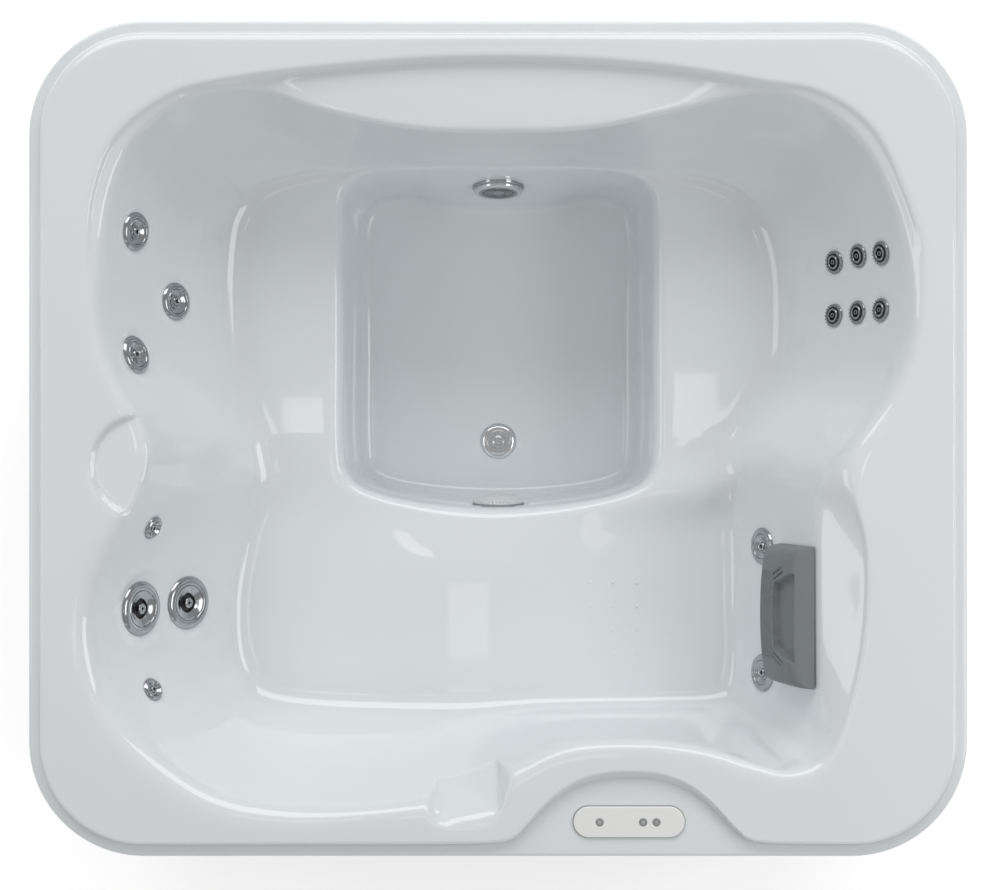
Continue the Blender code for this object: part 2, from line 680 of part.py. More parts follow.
def smooth(obj, angle=35):
    """Shades a round piece smooth, with its corners sharp."""
    obj.data.shade_smooth()
    obj.data.set_sharp_from_angle(angle=math.radians(angle))
    return obj


JET_SIDES = 16
SMALL_JET_SIDES = 12
FITTING_SIDES = 20


def shell_mesh():
    """The shell's upper surface: rings of points about the pole, joined by faces."""
    outline = rounded_rectangle(
        HALF_LENGTH, HALF_WIDTH, CORNER_RADIUS, CORNER_STEPS, LONG_SIDE_STEPS, SHORT_SIDE_STEPS
    )
    front = -HALF_WIDTH + FLANGE_WIDTH
    outline += [(NOTCH_X + share * NOTCH_HALF_WIDTH, front) for share in NOTCH_SPOKE_SHARES]
    angles = np.sort([math.atan2(y - POLE_Y, x) for x, y in outline])
    radii, heights = shell_profile(angles, SHELL_FILLET_STEPS)
    rings, spokes = radii.shape
    x = radii * np.cos(angles)
    y = POLE_Y + radii * np.sin(angles)
    points = [(0, POLE_Y, FOOTWELL_FLOOR_HEIGHT)]
    points += [(x[i, j], y[i, j], heights[i, j]) for i in range(1, rings) for j in range(spokes)]
    faces = [(0, 1 + j, 1 + (j + 1) % spokes) for j in range(spokes)]
    for i in range(rings - 2):
        for j in range(spokes):
            a, b = 1 + i * spokes + j, 1 + i * spokes + (j + 1) % spokes
            faces.append((a, a + spokes, b + spokes, b))
    mesh = bpy.data.meshes.new("shell")
    mesh.from_pydata(points, [], faces)
    return mesh


def surface_normal(x, y):
    """The shell's outward direction, into the water, at a place in plan."""
    step = SHELL_WALL / 2
    slope_x = (shell_height(x + step, y) - shell_height(x - step, y)) / (2 * step)
    slope_y = (shell_height(x, y + step) - shell_height(x, y - step)) / (2 * step)
    return Vector((-slope_x, -slope_y, 1)).normalized()


def wall_place(height, side):
    """The place on the footwell's front or rear wall, over the middle line, at a height."""
    low, high = 0.0, FOOTWELL_TOP_HALF_WIDTH + SHELL_WALL
    for _ in range(SEARCH_STEPS):
        middle = (low + high) / 2
        if shell_height(0.0, FOOTWELL_Y + side * middle) < height:
            low = middle
        else:
            high = middle
    return Vector((0.0, FOOTWELL_Y + side * low, height))


# Jets by name: kind, then the place in plan as shares of the half length and half width
JET_PLACES_SHARES = {
    "jet_large_1": ("large", -0.786, -0.421),
    "jet_large_2": ("large", -0.705, -0.419),
    "jet_medium_1": ("medium", -0.790, 0.508),
    "jet_medium_2": ("medium", -0.727, 0.349),
    "jet_medium_3": ("medium", -0.787, 0.206),
    "jet_shoulder_1": ("shoulder", 0.604, -0.276),
    "jet_shoulder_2": ("shoulder", 0.605, -0.601),
    "jet_small_1": ("small", -0.752, -0.219),
    "jet_small_2": ("small", -0.757, -0.618),
    "jet_cluster_1": ("cluster", 0.756, 0.447),
    "jet_cluster_2": ("cluster", 0.795, 0.454),
    "jet_cluster_3": ("cluster", 0.830, 0.452),
    "jet_cluster_4": ("cluster", 0.757, 0.313),
    "jet_cluster_5": ("cluster", 0.796, 0.315),
    "jet_cluster_6": ("cluster", 0.832, 0.315),
}
JET_RADII = {
    "large": LARGE_JET_RADIUS,
    "medium": MEDIUM_JET_RADIUS,
    "shoulder": MEDIUM_JET_RADIUS,
    "small": SMALL_JET_RADIUS,
    "cluster": SMALL_JET_RADIUS,
}


def seat_cutter(name, location, direction, hole_radius, seat_radius, sides):
    """A stepped cutter with its fitting's number of sides: the hole through the shell and the flange's flat seat."""
    top, bottom = CUT_OVERRUN, -JET_BODY_DEPTH - CUT_OVERRUN
    profile = [(0, top), (seat_radius, top), (seat_radius, 0), (hole_radius, 0), (hole_radius, bottom), (0, bottom)]
    cutter = turned(name, profile, None, sides, cutter=True)
    return face_along(cutter, location, direction)


def jet_body(name, radius, location, direction):
    """A jet's body: flange, socket for the turning face, and hose barb behind."""
    hole, bore = radius * JET_HOLE_SHARE, radius * JET_BORE_SHARE
    top = JET_FLANGE_WALL
    floor = -JET_FACE_DEPTH - FIT_GAP
    profile = [
        (0, floor), (bore, floor), (bore, top), (radius - top, top), (radius, FIT_GAP + top / 3),
        (radius, FIT_GAP), (hole - FIT_GAP, FIT_GAP), (hole - FIT_GAP, -JET_BODY_DEPTH),
        (JET_BARB_RADIUS, -JET_BODY_DEPTH), (JET_BARB_RADIUS, -JET_BODY_DEPTH - JET_BARB_LENGTH),
        (0, -JET_BODY_DEPTH - JET_BARB_LENGTH),
    ]
    return smooth(face_along(turned(name, profile, chrome(), JET_SIDES), location, direction))


def jet_face(name, radius, location, direction):
    """The chrome face that turns in the body's socket, with the recess for its nozzle."""
    rim = radius * JET_BORE_SHARE * math.cos(math.pi / JET_SIDES) - TURN_GAP
    recess = radius * JET_RECESS_SHARE
    top = JET_FLANGE_WALL + JET_FACE_RISE
    floor = top - JET_RECESS_DEPTH
    profile = [
        (0, floor), (recess, floor), (recess, top), (rim - JET_FACE_RISE, top), (rim, JET_FLANGE_WALL),
        (rim, -JET_FACE_DEPTH), (0, -JET_FACE_DEPTH),
    ]
    return smooth(face_along(turned(name, profile, chrome(), JET_SIDES), location, direction))


def jet_nozzle(name, radius, location, direction):
    """The ball nozzle that swivels in a large jet's face; its origin is the ball's centre."""
    ball = radius * JET_NOZZLE_SHARE
    floor = JET_FLANGE_WALL + JET_FACE_RISE - JET_RECESS_DEPTH + FIT_GAP
    mouth = ball * JET_BORE_SHARE
    start = math.acos(mouth / ball)
    turns = [start - (start + math.pi / 2) * i / NOZZLE_STEPS for i in range(NOZZLE_STEPS + 1)]
    bore, tip = mouth - NOZZLE_WALL, ball + NOZZLE_WALL
    profile = [(0, 0), (bore, 0), (bore, tip), (mouth, tip)]
    profile += [(ball * math.cos(a), ball * math.sin(a)) for a in turns[:-1]] + [(0, -ball)]
    centre = location + direction * (floor + ball)
    return smooth(face_along(turned(name, profile, dark_plastic(), SMALL_JET_SIDES), centre, direction))


def fixed_jet(name, radius, location, direction):
    """A small jet in one piece: ringed flange, nozzle bore and barb."""
    hole, mouth = radius * JET_HOLE_SHARE, radius * JET_RECESS_SHARE
    top = JET_FLANGE_WALL
    profile = [
        (0, top - JET_RECESS_DEPTH), (mouth, top - JET_RECESS_DEPTH), (mouth, top), (hole, top + JET_FACE_RISE),
        (radius, top - JET_FACE_RISE), (radius, FIT_GAP), (hole - FIT_GAP, FIT_GAP),
        (hole - FIT_GAP, -JET_BODY_DEPTH), (0, -JET_BODY_DEPTH),
    ]
    return smooth(face_along(turned(name, profile, chrome(), SMALL_JET_SIDES), location, direction))


def jets():
    """Every jet, and the cutters of their seats."""
    cutters = []
    for name, (kind, x_share, y_share) in JET_PLACES_SHARES.items():
        x, y = x_share * HALF_LENGTH, y_share * HALF_WIDTH
        direction = surface_normal(x, y)
        location = Vector((x, y, shell_height(x, y))) - direction * JET_SINK
        radius = JET_RADII[kind]
        fixed = kind in ("small", "cluster")
        sides = SMALL_JET_SIDES if fixed else JET_SIDES
        cutters.append(
            seat_cutter(name + "_seat", location, direction, radius * JET_HOLE_SHARE, radius + FIT_GAP, sides)
        )
        if fixed:
            fixed_jet(name, radius, location, direction)
            continue
        jet_body(name + "_body", radius, location, direction)
        jet_face(name + "_face", radius, location, direction)
        if kind == "large":
            jet_nozzle(name + "_nozzle", radius, location, direction)
    return cutters


def footwell_fittings():
    """The suction fitting, the floor fitting and the light, and the cutters of their seats."""
    cutters = []
    rear = wall_place(SUCTION_HEIGHT, 1)
    inward = surface_normal(0.0, rear.y)
    rear -= inward * JET_SINK
    hole = SUCTION_RADIUS * JET_HOLE_SHARE
    cutters.append(seat_cutter("suction_seat", rear, inward, hole, SUCTION_RADIUS + FIT_GAP, FITTING_SIDES))
    body = [
        (hole - SHELL_WALL, SUCTION_RISE / 2), (SUCTION_RADIUS - SHELL_WALL / 2, SUCTION_RISE / 2),
        (SUCTION_RADIUS, FIT_GAP), (hole - FIT_GAP, FIT_GAP), (hole - FIT_GAP, -JET_BODY_DEPTH),
        (hole - SHELL_WALL, -JET_BODY_DEPTH),
    ]
    smooth(face_along(turned("suction_body", body, grey_plastic(), FITTING_SIDES), rear, inward))
    grille_radius = SUCTION_RADIUS - SHELL_WALL / 2
    low = SUCTION_RISE / 2 + FIT_GAP
    grille = [(0, SUCTION_RISE), (grille_radius * JET_HOLE_SHARE, SUCTION_RISE), (grille_radius, low + GRILLE_EDGE),
              (grille_radius, low), (0, low)]
    smooth(face_along(turned("suction_grille", grille, chrome(), FITTING_SIDES), rear, inward))

    up = Vector((0, 0, 1))
    floor = Vector((0, FLOOR_FITTING_Y, FOOTWELL_FLOOR_HEIGHT - JET_SINK))
    hole = FLOOR_FITTING_RADIUS * JET_RECESS_SHARE
    cutters.append(seat_cutter("floor_seat", floor, up, hole, FLOOR_FITTING_RADIUS + FIT_GAP, FITTING_SIDES))
    disc = [
        (0, JET_FLANGE_WALL), (hole, JET_FLANGE_WALL), (FLOOR_FITTING_RADIUS, JET_FACE_RISE),
        (FLOOR_FITTING_RADIUS, FIT_GAP), (hole - FIT_GAP, FIT_GAP), (hole - FIT_GAP, -SHELL_WALL), (0, -SHELL_WALL),
    ]
    smooth(face_along(turned("floor_fitting", disc, chrome(), FITTING_SIDES), floor, up))

    front = wall_place(LIGHT_HEIGHT, -1)
    inward = surface_normal(0.0, front.y)
    front -= inward * JET_SINK
    hole = LIGHT_RADIUS * JET_HOLE_SHARE
    cutters.append(seat_cutter("light_seat", front, inward, hole, LIGHT_RADIUS + FIT_GAP, FITTING_SIDES))
    housing = [
        (hole - SHELL_WALL, LIGHT_RISE / 3), (LIGHT_RADIUS, LIGHT_RISE / 3), (LIGHT_RADIUS, FIT_GAP),
        (hole - FIT_GAP, FIT_GAP), (hole - FIT_GAP, -JET_FACE_DEPTH), (0, -JET_FACE_DEPTH),
        (0, SHELL_WALL / 2 - JET_FACE_DEPTH), (hole - SHELL_WALL, SHELL_WALL / 2 - JET_FACE_DEPTH),
    ]
    smooth(face_along(turned("light_housing", open_profile(housing), grey_plastic(), FITTING_SIDES), front, inward))
    low = LIGHT_RISE / 3 + FIT_GAP
    lens = [(0, LIGHT_RISE), (LIGHT_RADIUS - LIGHT_RISE / 2, LIGHT_RISE), (LIGHT_RADIUS, low + LIGHT_RISE / 6),
            (LIGHT_RADIUS, low), (0, low)]
    smooth(face_along(turned("light_lens", lens, clear_plastic(), FITTING_SIDES), front, inward))
    return cutters


def open_profile(points):
    """Turns a profile's start to its inner point on the axis, so that it ends on the axis too."""
    on_axis = [i for i, (r, _) in enumerate(points) if r == 0]
    start = on_axis[-1]
    return points[start:] + points[:start]


def stadium(length, width, steps=ROUND_END_STEPS):
    """Points of a bar with round ends, anticlockwise."""
    radius = width / 2
    centre = length / 2 - radius
    right = [math.radians(-90 + 180 * i / steps) for i in range(steps + 1)]
    left = [math.radians(90 + 180 * i / steps) for i in range(steps + 1)]
    return [(centre + radius * math.cos(a), radius * math.sin(a)) for a in right] + [
        (-centre + radius * math.cos(a), radius * math.sin(a)) for a in left
    ]


def controls():
    """The control housing with its three buttons, and the cutter of its opening in the shell."""
    plateau = RIM_HEIGHT - FLANGE_DROP + FIT_GAP
    top = plateau + CONTROL_WALL
    outline = [(NOTCH_X + x, CONTROL_Y + y) for x, y in stadium(CONTROL_LENGTH, CONTROL_WIDTH)]
    housing = solid_outline("control_housing", outline, plateau, top, white_plastic())
    half = Vector((CONTROL_BODY_LENGTH / 2, CONTROL_BODY_WIDTH / 2, 0))
    middle = Vector((NOTCH_X, CONTROL_Y, 0))
    low = middle - half + Vector((0, 0, plateau - CONTROL_BODY_DEPTH))
    high = middle + half + Vector((0, 0, plateau + CONTROL_WALL / 4))
    body = block("control_body", low, high, None, cutter=True)
    combine(housing, [body], "UNION")
    pockets = []
    for i, share in enumerate(BUTTON_X_SHARES, 1):
        x = NOTCH_X + share * CONTROL_LENGTH / 2
        floor = top - BUTTON_HEIGHT - BUTTON_TRAVEL + BUTTON_RISE
        reach = BUTTON_RADIUS + FIT_GAP
        pocket = [(0, top + CUT_OVERRUN - floor), (reach, top + CUT_OVERRUN - floor), (reach, 0), (0, 0)]
        cut = turned(f"button_{i}_pocket", pocket, None, BUTTON_SIDES, cutter=True)
        pockets.append(face_along(cut, (x, CONTROL_Y, floor), (0, 0, 1)))
        edge = BUTTON_RISE / 2
        button = [(0, BUTTON_HEIGHT), (BUTTON_RADIUS - edge, BUTTON_HEIGHT), (BUTTON_RADIUS, BUTTON_HEIGHT - edge),
                  (BUTTON_RADIUS, 0), (0, 0)]
        base = (x, CONTROL_Y, top + BUTTON_RISE - BUTTON_HEIGHT)
        smooth(face_along(turned(f"button_{i}", button, grey_plastic(), BUTTON_SIDES), base, (0, 0, 1)))
    combine(housing, pockets, "DIFFERENCE")
    gap = Vector((FIT_GAP, FIT_GAP, CUT_OVERRUN))
    return [block("control_opening", low - gap, high + gap, None, cutter=True)]


def wall_behind(y, height):
    """The place on the wall behind the pillow at a place along it and a height."""
    low, high = SEAT_LEVEL_HALF_LENGTH / 2, HALF_LENGTH - FLANGE_WIDTH
    for _ in range(SEARCH_STEPS):
        middle = (low + high) / 2
        if shell_height(middle, y, SHELL_FILLET_STEPS) < height:
            low = middle
        else:
            high = middle
    return Vector((low, y, height))


def pillow_seat():
    """The middle of the pillow's flat back, up its wall and off it, clear of the wall all along."""
    middle_y = HALF_WIDTH * PILLOW_Y_SHARE
    heights = [RIM_HEIGHT - PILLOW_LOW_DROP, RIM_HEIGHT - PILLOW_TOP_DROP]
    low, high = (wall_behind(middle_y, height) for height in heights)
    up_wall = (high - low).normalized()
    off_wall = Vector((0, -1, 0)).cross(up_wall)
    centre = (low + high) / 2
    reach = 0.0
    for along in PILLOW_TEST_SHARES:
        for up in PILLOW_TEST_SHARES:
            height = centre.z + up_wall.z * up * PILLOW_HEIGHT / 2
            place_there = wall_behind(middle_y + along * PILLOW_LENGTH / 2, height)
            reach = max(reach, (place_there - centre).dot(off_wall))
    return centre + off_wall * (reach + PILLOW_GAP), up_wall, off_wall


def pillow():
    """The foam pillow: crowned front with drawn-in sides, crescent recess, and a flat back."""
    columns, rows = PILLOW_COLUMNS, PILLOW_ROWS
    across = -np.cos(np.pi * np.arange(columns + 1) / columns)
    up = -np.cos(np.pi * np.arange(rows + 1) / rows)
    work = bmesh.new()
    front = []
    for v in up:
        line = []
        for u in across:
            edge = (1 - u**PILLOW_CORNER_POWER) * (1 - v**PILLOW_CORNER_POWER)
            crown = 1 - PILLOW_CROWN / PILLOW_DEPTH * (u * u + v * v) / 2
            bow = 1 + PILLOW_BOW_SHARE * (1 - u * u) * (1 - v) / 2
            reach = math.hypot(u, (v + RECESS_LIFT_SHARE) * RECESS_HEIGHT_SHARE)
            hollow = smooth_step(*RECESS_REACH_SHARES, reach)
            hollow = float(hollow * smooth_step(*RECESS_TOP_SHARES, v + RECESS_BEND_SHARE * u * u))
            depth = PILLOW_DEPTH * crown * edge**PILLOW_EDGE_POWER - RECESS_DEPTH * hollow
            x, y = u * PILLOW_LENGTH / 2, v * PILLOW_HEIGHT / 2 * bow
            line.append(work.verts.new((x, y, max(depth, PILLOW_EDGE))))
        front.append(line)
    back = [[work.verts.new((vert.co.x, vert.co.y, 0)) for vert in line] for line in front]
    for i in range(rows):
        for j in range(columns):
            work.faces.new((front[i][j], front[i][j + 1], front[i + 1][j + 1], front[i + 1][j]))
            work.faces.new((back[i][j], back[i + 1][j], back[i + 1][j + 1], back[i][j + 1]))
    for j in range(columns):
        work.faces.new((front[0][j + 1], front[0][j], back[0][j], back[0][j + 1]))
        work.faces.new((front[rows][j], front[rows][j + 1], back[rows][j + 1], back[rows][j]))
    for i in range(rows):
        work.faces.new((front[i][0], front[i + 1][0], back[i + 1][0], back[i][0]))
        work.faces.new((front[i + 1][columns], front[i][columns], back[i][columns], back[i + 1][columns]))
    mesh = bpy.data.meshes.new("pillow")
    work.to_mesh(mesh)
    work.free()
    obj = smooth(place("pillow", mesh, foam()), 60)
    seat, up_wall, off_wall = pillow_seat()
    obj.location = seat
    obj.rotation_euler = Matrix((up_wall.cross(off_wall), up_wall, off_wall)).transposed().to_euler()
    return obj


def cabinet():
    """Base pan, corner posts, rails and panels."""
    pan = solid_outline(
        "base_pan",
        rounded_rectangle(
            HALF_LENGTH - PAN_INSET, HALF_WIDTH - PAN_INSET, CORNER_RADIUS - PAN_INSET, POST_ARC_STEPS, 1, 1
        ),
        0.0,
        PAN_HEIGHT,
        cabinet_plastic(),
    )
    pedestal_top = FOOTWELL_FLOOR_HEIGHT - SHELL_WALL - FIT_GAP
    half_length = FOOTWELL_FLOOR_HALF_LENGTH - PEDESTAL_INSET
    half_width = FOOTWELL_Y - FLOOR_FITTING_Y - FLOOR_FITTING_RADIUS - PEDESTAL_CLEARANCE
    pedestal = block(
        "pedestal",
        (-half_length, FOOTWELL_Y - half_width, PAN_HEIGHT / 2),
        (half_length, FOOTWELL_Y + half_width, pedestal_top),
        None,
        cutter=True,
    )
    combine(pan, [pedestal], "UNION")
    low = PAN_HEIGHT + FIT_GAP
    skirt_low = RIM_HEIGHT - FLANGE_DROP - SKIRT_DEPTH
    high = skirt_low - PANEL_TOP_GAP
    outer_x, outer_y = HALF_LENGTH - PANEL_INSET, HALF_WIDTH - PANEL_INSET
    inner_x, inner_y = outer_x - PANEL_WALL, outer_y - PANEL_WALL
    corner_x, corner_y = HALF_LENGTH - CORNER_RADIUS, HALF_WIDTH - CORNER_RADIUS
    outer_radius = CORNER_RADIUS - PANEL_INSET
    inner_radius = outer_radius - PANEL_WALL
    front_rail_top = RIM_HEIGHT - FRONT_RAIL_DROP
    rail_top = RIM_HEIGHT - SHELL_WALL - RAIL_TOP_GAP
    for side_x, side_y, end_x, end_y in ((1, -1, "right", "front"), (-1, -1, "left", "front"),
                                         (1, 1, "right", "rear"), (-1, 1, "left", "rear")):
        turns = [math.pi / 2 * i / POST_ARC_STEPS for i in range(POST_ARC_STEPS + 1)]
        arc = [(outer_radius * math.cos(a), outer_radius * math.sin(a)) for a in turns]
        arc += [(inner_radius * math.cos(a), inner_radius * math.sin(a)) for a in reversed(turns)]
        points = [(side_x * (corner_x + x), side_y * (corner_y + y)) for x, y in arc]
        if side_x * side_y < 0:
            points.reverse()
        post = solid_outline(f"corner_post_{end_y}_{end_x}", points, low, high, cabinet_plastic())
        rail_x_low = rail_top - RAIL_DEPTH - FIT_GAP
        rail_y_low = front_rail_top - RAIL_DEPTH - FIT_GAP if side_y < 0 else rail_x_low
        near_y, far_y = outer_y - PANEL_WALL / 2, inner_y - LEG_DEPTH
        near_x, far_x = outer_x - PANEL_WALL / 2, inner_x - LEG_DEPTH
        legs = []
        for name, near, far, top in (
            ("y", (corner_x + FIT_GAP, near_y), (corner_x + LEG_WIDTH, far_y), rail_y_low),
            ("x", (near_x, corner_y + FIT_GAP), (far_x, corner_y + LEG_WIDTH), rail_x_low),
        ):
            xs = sorted((side_x * near[0], side_x * far[0]))
            ys = sorted((side_y * near[1], side_y * far[1]))
            foot, head = (xs[0], ys[0], low), (xs[1], ys[1], min(top, high))
            legs.append(block(f"leg_{end_y}_{end_x}_{name}", foot, head, None, cutter=True))
        combine(post, legs, "UNION")
    wall = cabinet_plastic()
    run_x, run_y = corner_x - FIT_GAP, corner_y - FIT_GAP
    block("panel_front", (-run_x, -outer_y, low), (run_x, -inner_y, high), wall)
    block("panel_rear", (-run_x, inner_y, low), (run_x, outer_y, high), wall)
    block("panel_left", (-outer_x, -run_y, low), (-inner_x, run_y, high), wall)
    block("panel_right", (inner_x, -run_y, low), (outer_x, run_y, high), wall)
    rail_x, rail_y = HALF_LENGTH - RAIL_INSET, HALF_WIDTH - RAIL_INSET
    end_x, end_y = corner_x + LEG_WIDTH, corner_y + LEG_WIDTH
    rail = steel()
    front_low, front_high = front_rail_top - RAIL_DEPTH, front_rail_top
    block("rail_front", (-end_x, -rail_y, front_low), (end_x, RAIL_WIDTH - rail_y, front_high), rail)
    block("rail_rear", (-end_x, rail_y - RAIL_WIDTH, rail_top - RAIL_DEPTH), (end_x, rail_y, rail_top), rail)
    block("rail_left", (-rail_x, -end_y, rail_top - RAIL_DEPTH), (RAIL_WIDTH - rail_x, end_y, rail_top), rail)
    block("rail_right", (rail_x - RAIL_WIDTH, -end_y, rail_top - RAIL_DEPTH), (rail_x, end_y, rail_top), rail)


def pump():
    """The pump: volute with its suction port, motor on its foot, and the rotor inside both."""
    along = (-1, 0, 0)
    centre = Vector((0, PUMP_Y, PUMP_HEIGHT))
    inner = VOLUTE_RADIUS - VOLUTE_WALL
    bore = PORT_RADIUS - PORT_WALL
    hole = SHAFT_RADIUS + SHAFT_CLEARANCE
    volute = [
        (bore, VOLUTE_LENGTH + PORT_LENGTH), (PORT_RADIUS, VOLUTE_LENGTH + PORT_LENGTH), (PORT_RADIUS, VOLUTE_LENGTH),
        (VOLUTE_RADIUS, VOLUTE_LENGTH), (VOLUTE_RADIUS, 0), (hole, 0), (hole, VOLUTE_WALL), (inner, VOLUTE_WALL),
        (inner, VOLUTE_LENGTH - VOLUTE_WALL), (bore, VOLUTE_LENGTH - VOLUTE_WALL),
    ]
    smooth(face_along(turned("pump_wet_end", volute, dark_plastic(), PUMP_SIDES), centre, along))
    can = MOTOR_RADIUS - MOTOR_WALL
    motor = [
        (0, MOTOR_WALL - MOTOR_LENGTH), (can, MOTOR_WALL - MOTOR_LENGTH), (can, -FIT_GAP), (MOTOR_RADIUS, -FIT_GAP),
        (MOTOR_RADIUS, -MOTOR_LENGTH), (0, -MOTOR_LENGTH),
    ]
    body = smooth(face_along(turned("pump_motor", motor, steel(), PUMP_SIDES), centre, along))
    foot = block(
        "motor_foot",
        (MOTOR_WALL, PUMP_Y - FOOT_WIDTH / 2, PAN_HEIGHT + FIT_GAP),
        (MOTOR_WALL + FOOT_LENGTH, PUMP_Y + FOOT_WIDTH / 2, PUMP_HEIGHT - MOTOR_RADIUS + MOTOR_WALL / 2),
        None,
        cutter=True,
    )
    combine(body, [foot], "UNION")
    wheel = VOLUTE_WALL + SHAFT_CLEARANCE
    start = -(MOTOR_LENGTH - ROTOR_LENGTH) / 2
    rotor = [
        (0, wheel + IMPELLER_WIDTH), (IMPELLER_RADIUS / 2, wheel + IMPELLER_WIDTH),
        (IMPELLER_RADIUS, wheel + SHAFT_RADIUS),
        (IMPELLER_RADIUS, wheel), (SHAFT_RADIUS, wheel), (SHAFT_RADIUS, start), (ROTOR_RADIUS, start),
        (ROTOR_RADIUS, start - ROTOR_LENGTH), (SHAFT_RADIUS, start - ROTOR_LENGTH),
        (SHAFT_RADIUS, MOTOR_WALL + FIT_GAP - MOTOR_LENGTH), (0, MOTOR_WALL + FIT_GAP - MOTOR_LENGTH),
    ]
    smooth(face_along(turned("pump_rotor", rotor, steel(), ROTOR_SIDES), centre, along))


def heater():
    """The heater tube over the pump, with its stub down to the volute."""
    middle = -VOLUTE_LENGTH / 2
    start = (middle - HEATER_RADIUS, PUMP_Y, HEATER_HEIGHT)
    profile = [(0, HEATER_LENGTH), (HEATER_RADIUS, HEATER_LENGTH), (HEATER_RADIUS, 0), (0, 0)]
    body = smooth(face_along(turned("heater_tube", profile, steel(), ROTOR_SIDES), start, (1, 0, 0)))
    low = PUMP_HEIGHT + VOLUTE_RADIUS + FIT_GAP
    stub = [(0, HEATER_HEIGHT - low), (PORT_RADIUS / 2, HEATER_HEIGHT - low), (PORT_RADIUS / 2, 0), (0, 0)]
    joined = face_along(turned("heater_stub", stub, None, STUB_SIDES, cutter=True), (middle, PUMP_Y, low), (0, 0, 1))
    combine(body, [joined], "UNION")


def filter_set():
    """The in-line filter: canister, screw lid and cartridge."""
    base = Vector((-(VOLUTE_LENGTH + PORT_LENGTH + FILTER_RADIUS + FIT_GAP), PUMP_Y, PAN_HEIGHT + FIT_GAP))
    bore = FILTER_RADIUS - FILTER_WALL
    canister = [
        (0, FILTER_WALL), (bore, FILTER_WALL), (bore, FILTER_HEIGHT), (FILTER_RADIUS, FILTER_HEIGHT),
        (FILTER_RADIUS, 0), (0, 0),
    ]
    smooth(face_along(turned("filter_canister", canister, dark_plastic(), FILTER_SIDES), base, (0, 0, 1)))
    low = FILTER_WALL + FIT_GAP
    high = FILTER_HEIGHT - LID_HEIGHT
    cartridge = [
        (CARTRIDGE_BORE, high), (CARTRIDGE_RADIUS, high), (CARTRIDGE_RADIUS, low), (CARTRIDGE_BORE, low),
    ]
    smooth(face_along(turned("filter_cartridge", cartridge, filter_paper(), FILTER_SIDES), base, (0, 0, 1)))
    plug = bore * math.cos(math.pi / FILTER_SIDES) - TURN_GAP
    lid = [
        (0, FILTER_HEIGHT + LID_HEIGHT), (FILTER_RADIUS, FILTER_HEIGHT + LID_HEIGHT),
        (FILTER_RADIUS, FILTER_HEIGHT + FIT_GAP), (plug, FILTER_HEIGHT + FIT_GAP), (plug, high + FIT_GAP),
        (0, high + FIT_GAP),
    ]
    smooth(face_along(turned("filter_lid", lid, dark_plastic(), FILTER_SIDES), base, (0, 0, 1)))


def control_box_and_drain():
    """The control box on the pan, and the drain valve with its cap."""
    low = PAN_HEIGHT + FIT_GAP
    block(
        "control_box",
        (BOX_X - BOX_LENGTH / 2, BOX_Y - BOX_WIDTH / 2, low),
        (BOX_X + BOX_LENGTH / 2, BOX_Y + BOX_WIDTH / 2, low + BOX_HEIGHT),
        grey_plastic(),
        edge=SHELL_WALL / 2,
    )
    valve = block(
        "drain_valve",
        (DRAIN_X - DRAIN_RADIUS, DRAIN_Y, low),
        (DRAIN_X + DRAIN_RADIUS, DRAIN_Y + DRAIN_LENGTH, low + 2 * DRAIN_RADIUS),
        dark_plastic(),
    )
    spigot_radius = DRAIN_RADIUS * JET_HOLE_SHARE
    height = low + DRAIN_RADIUS
    outlet = Vector((DRAIN_X, DRAIN_Y, height))
    end = DRAIN_LENGTH / 2
    spigot = [(0, end), (spigot_radius, end), (spigot_radius, -SHELL_WALL), (0, -SHELL_WALL)]
    joined = turned("drain_spigot", spigot, None, ROTOR_SIDES, cutter=True)
    combine(valve, [face_along(joined, outlet, (0, -1, 0))], "UNION")
    inner = spigot_radius + TURN_GAP
    cap = [
        (0, end + FIT_GAP), (inner, end + FIT_GAP), (inner, SHELL_WALL), (DRAIN_RADIUS, SHELL_WALL),
        (DRAIN_RADIUS, end + SHELL_WALL), (0, end + SHELL_WALL),
    ]
    smooth(face_along(turned("drain_cap", cap[::-1], dark_plastic(), PUMP_SIDES), outlet, (0, -1, 0)))


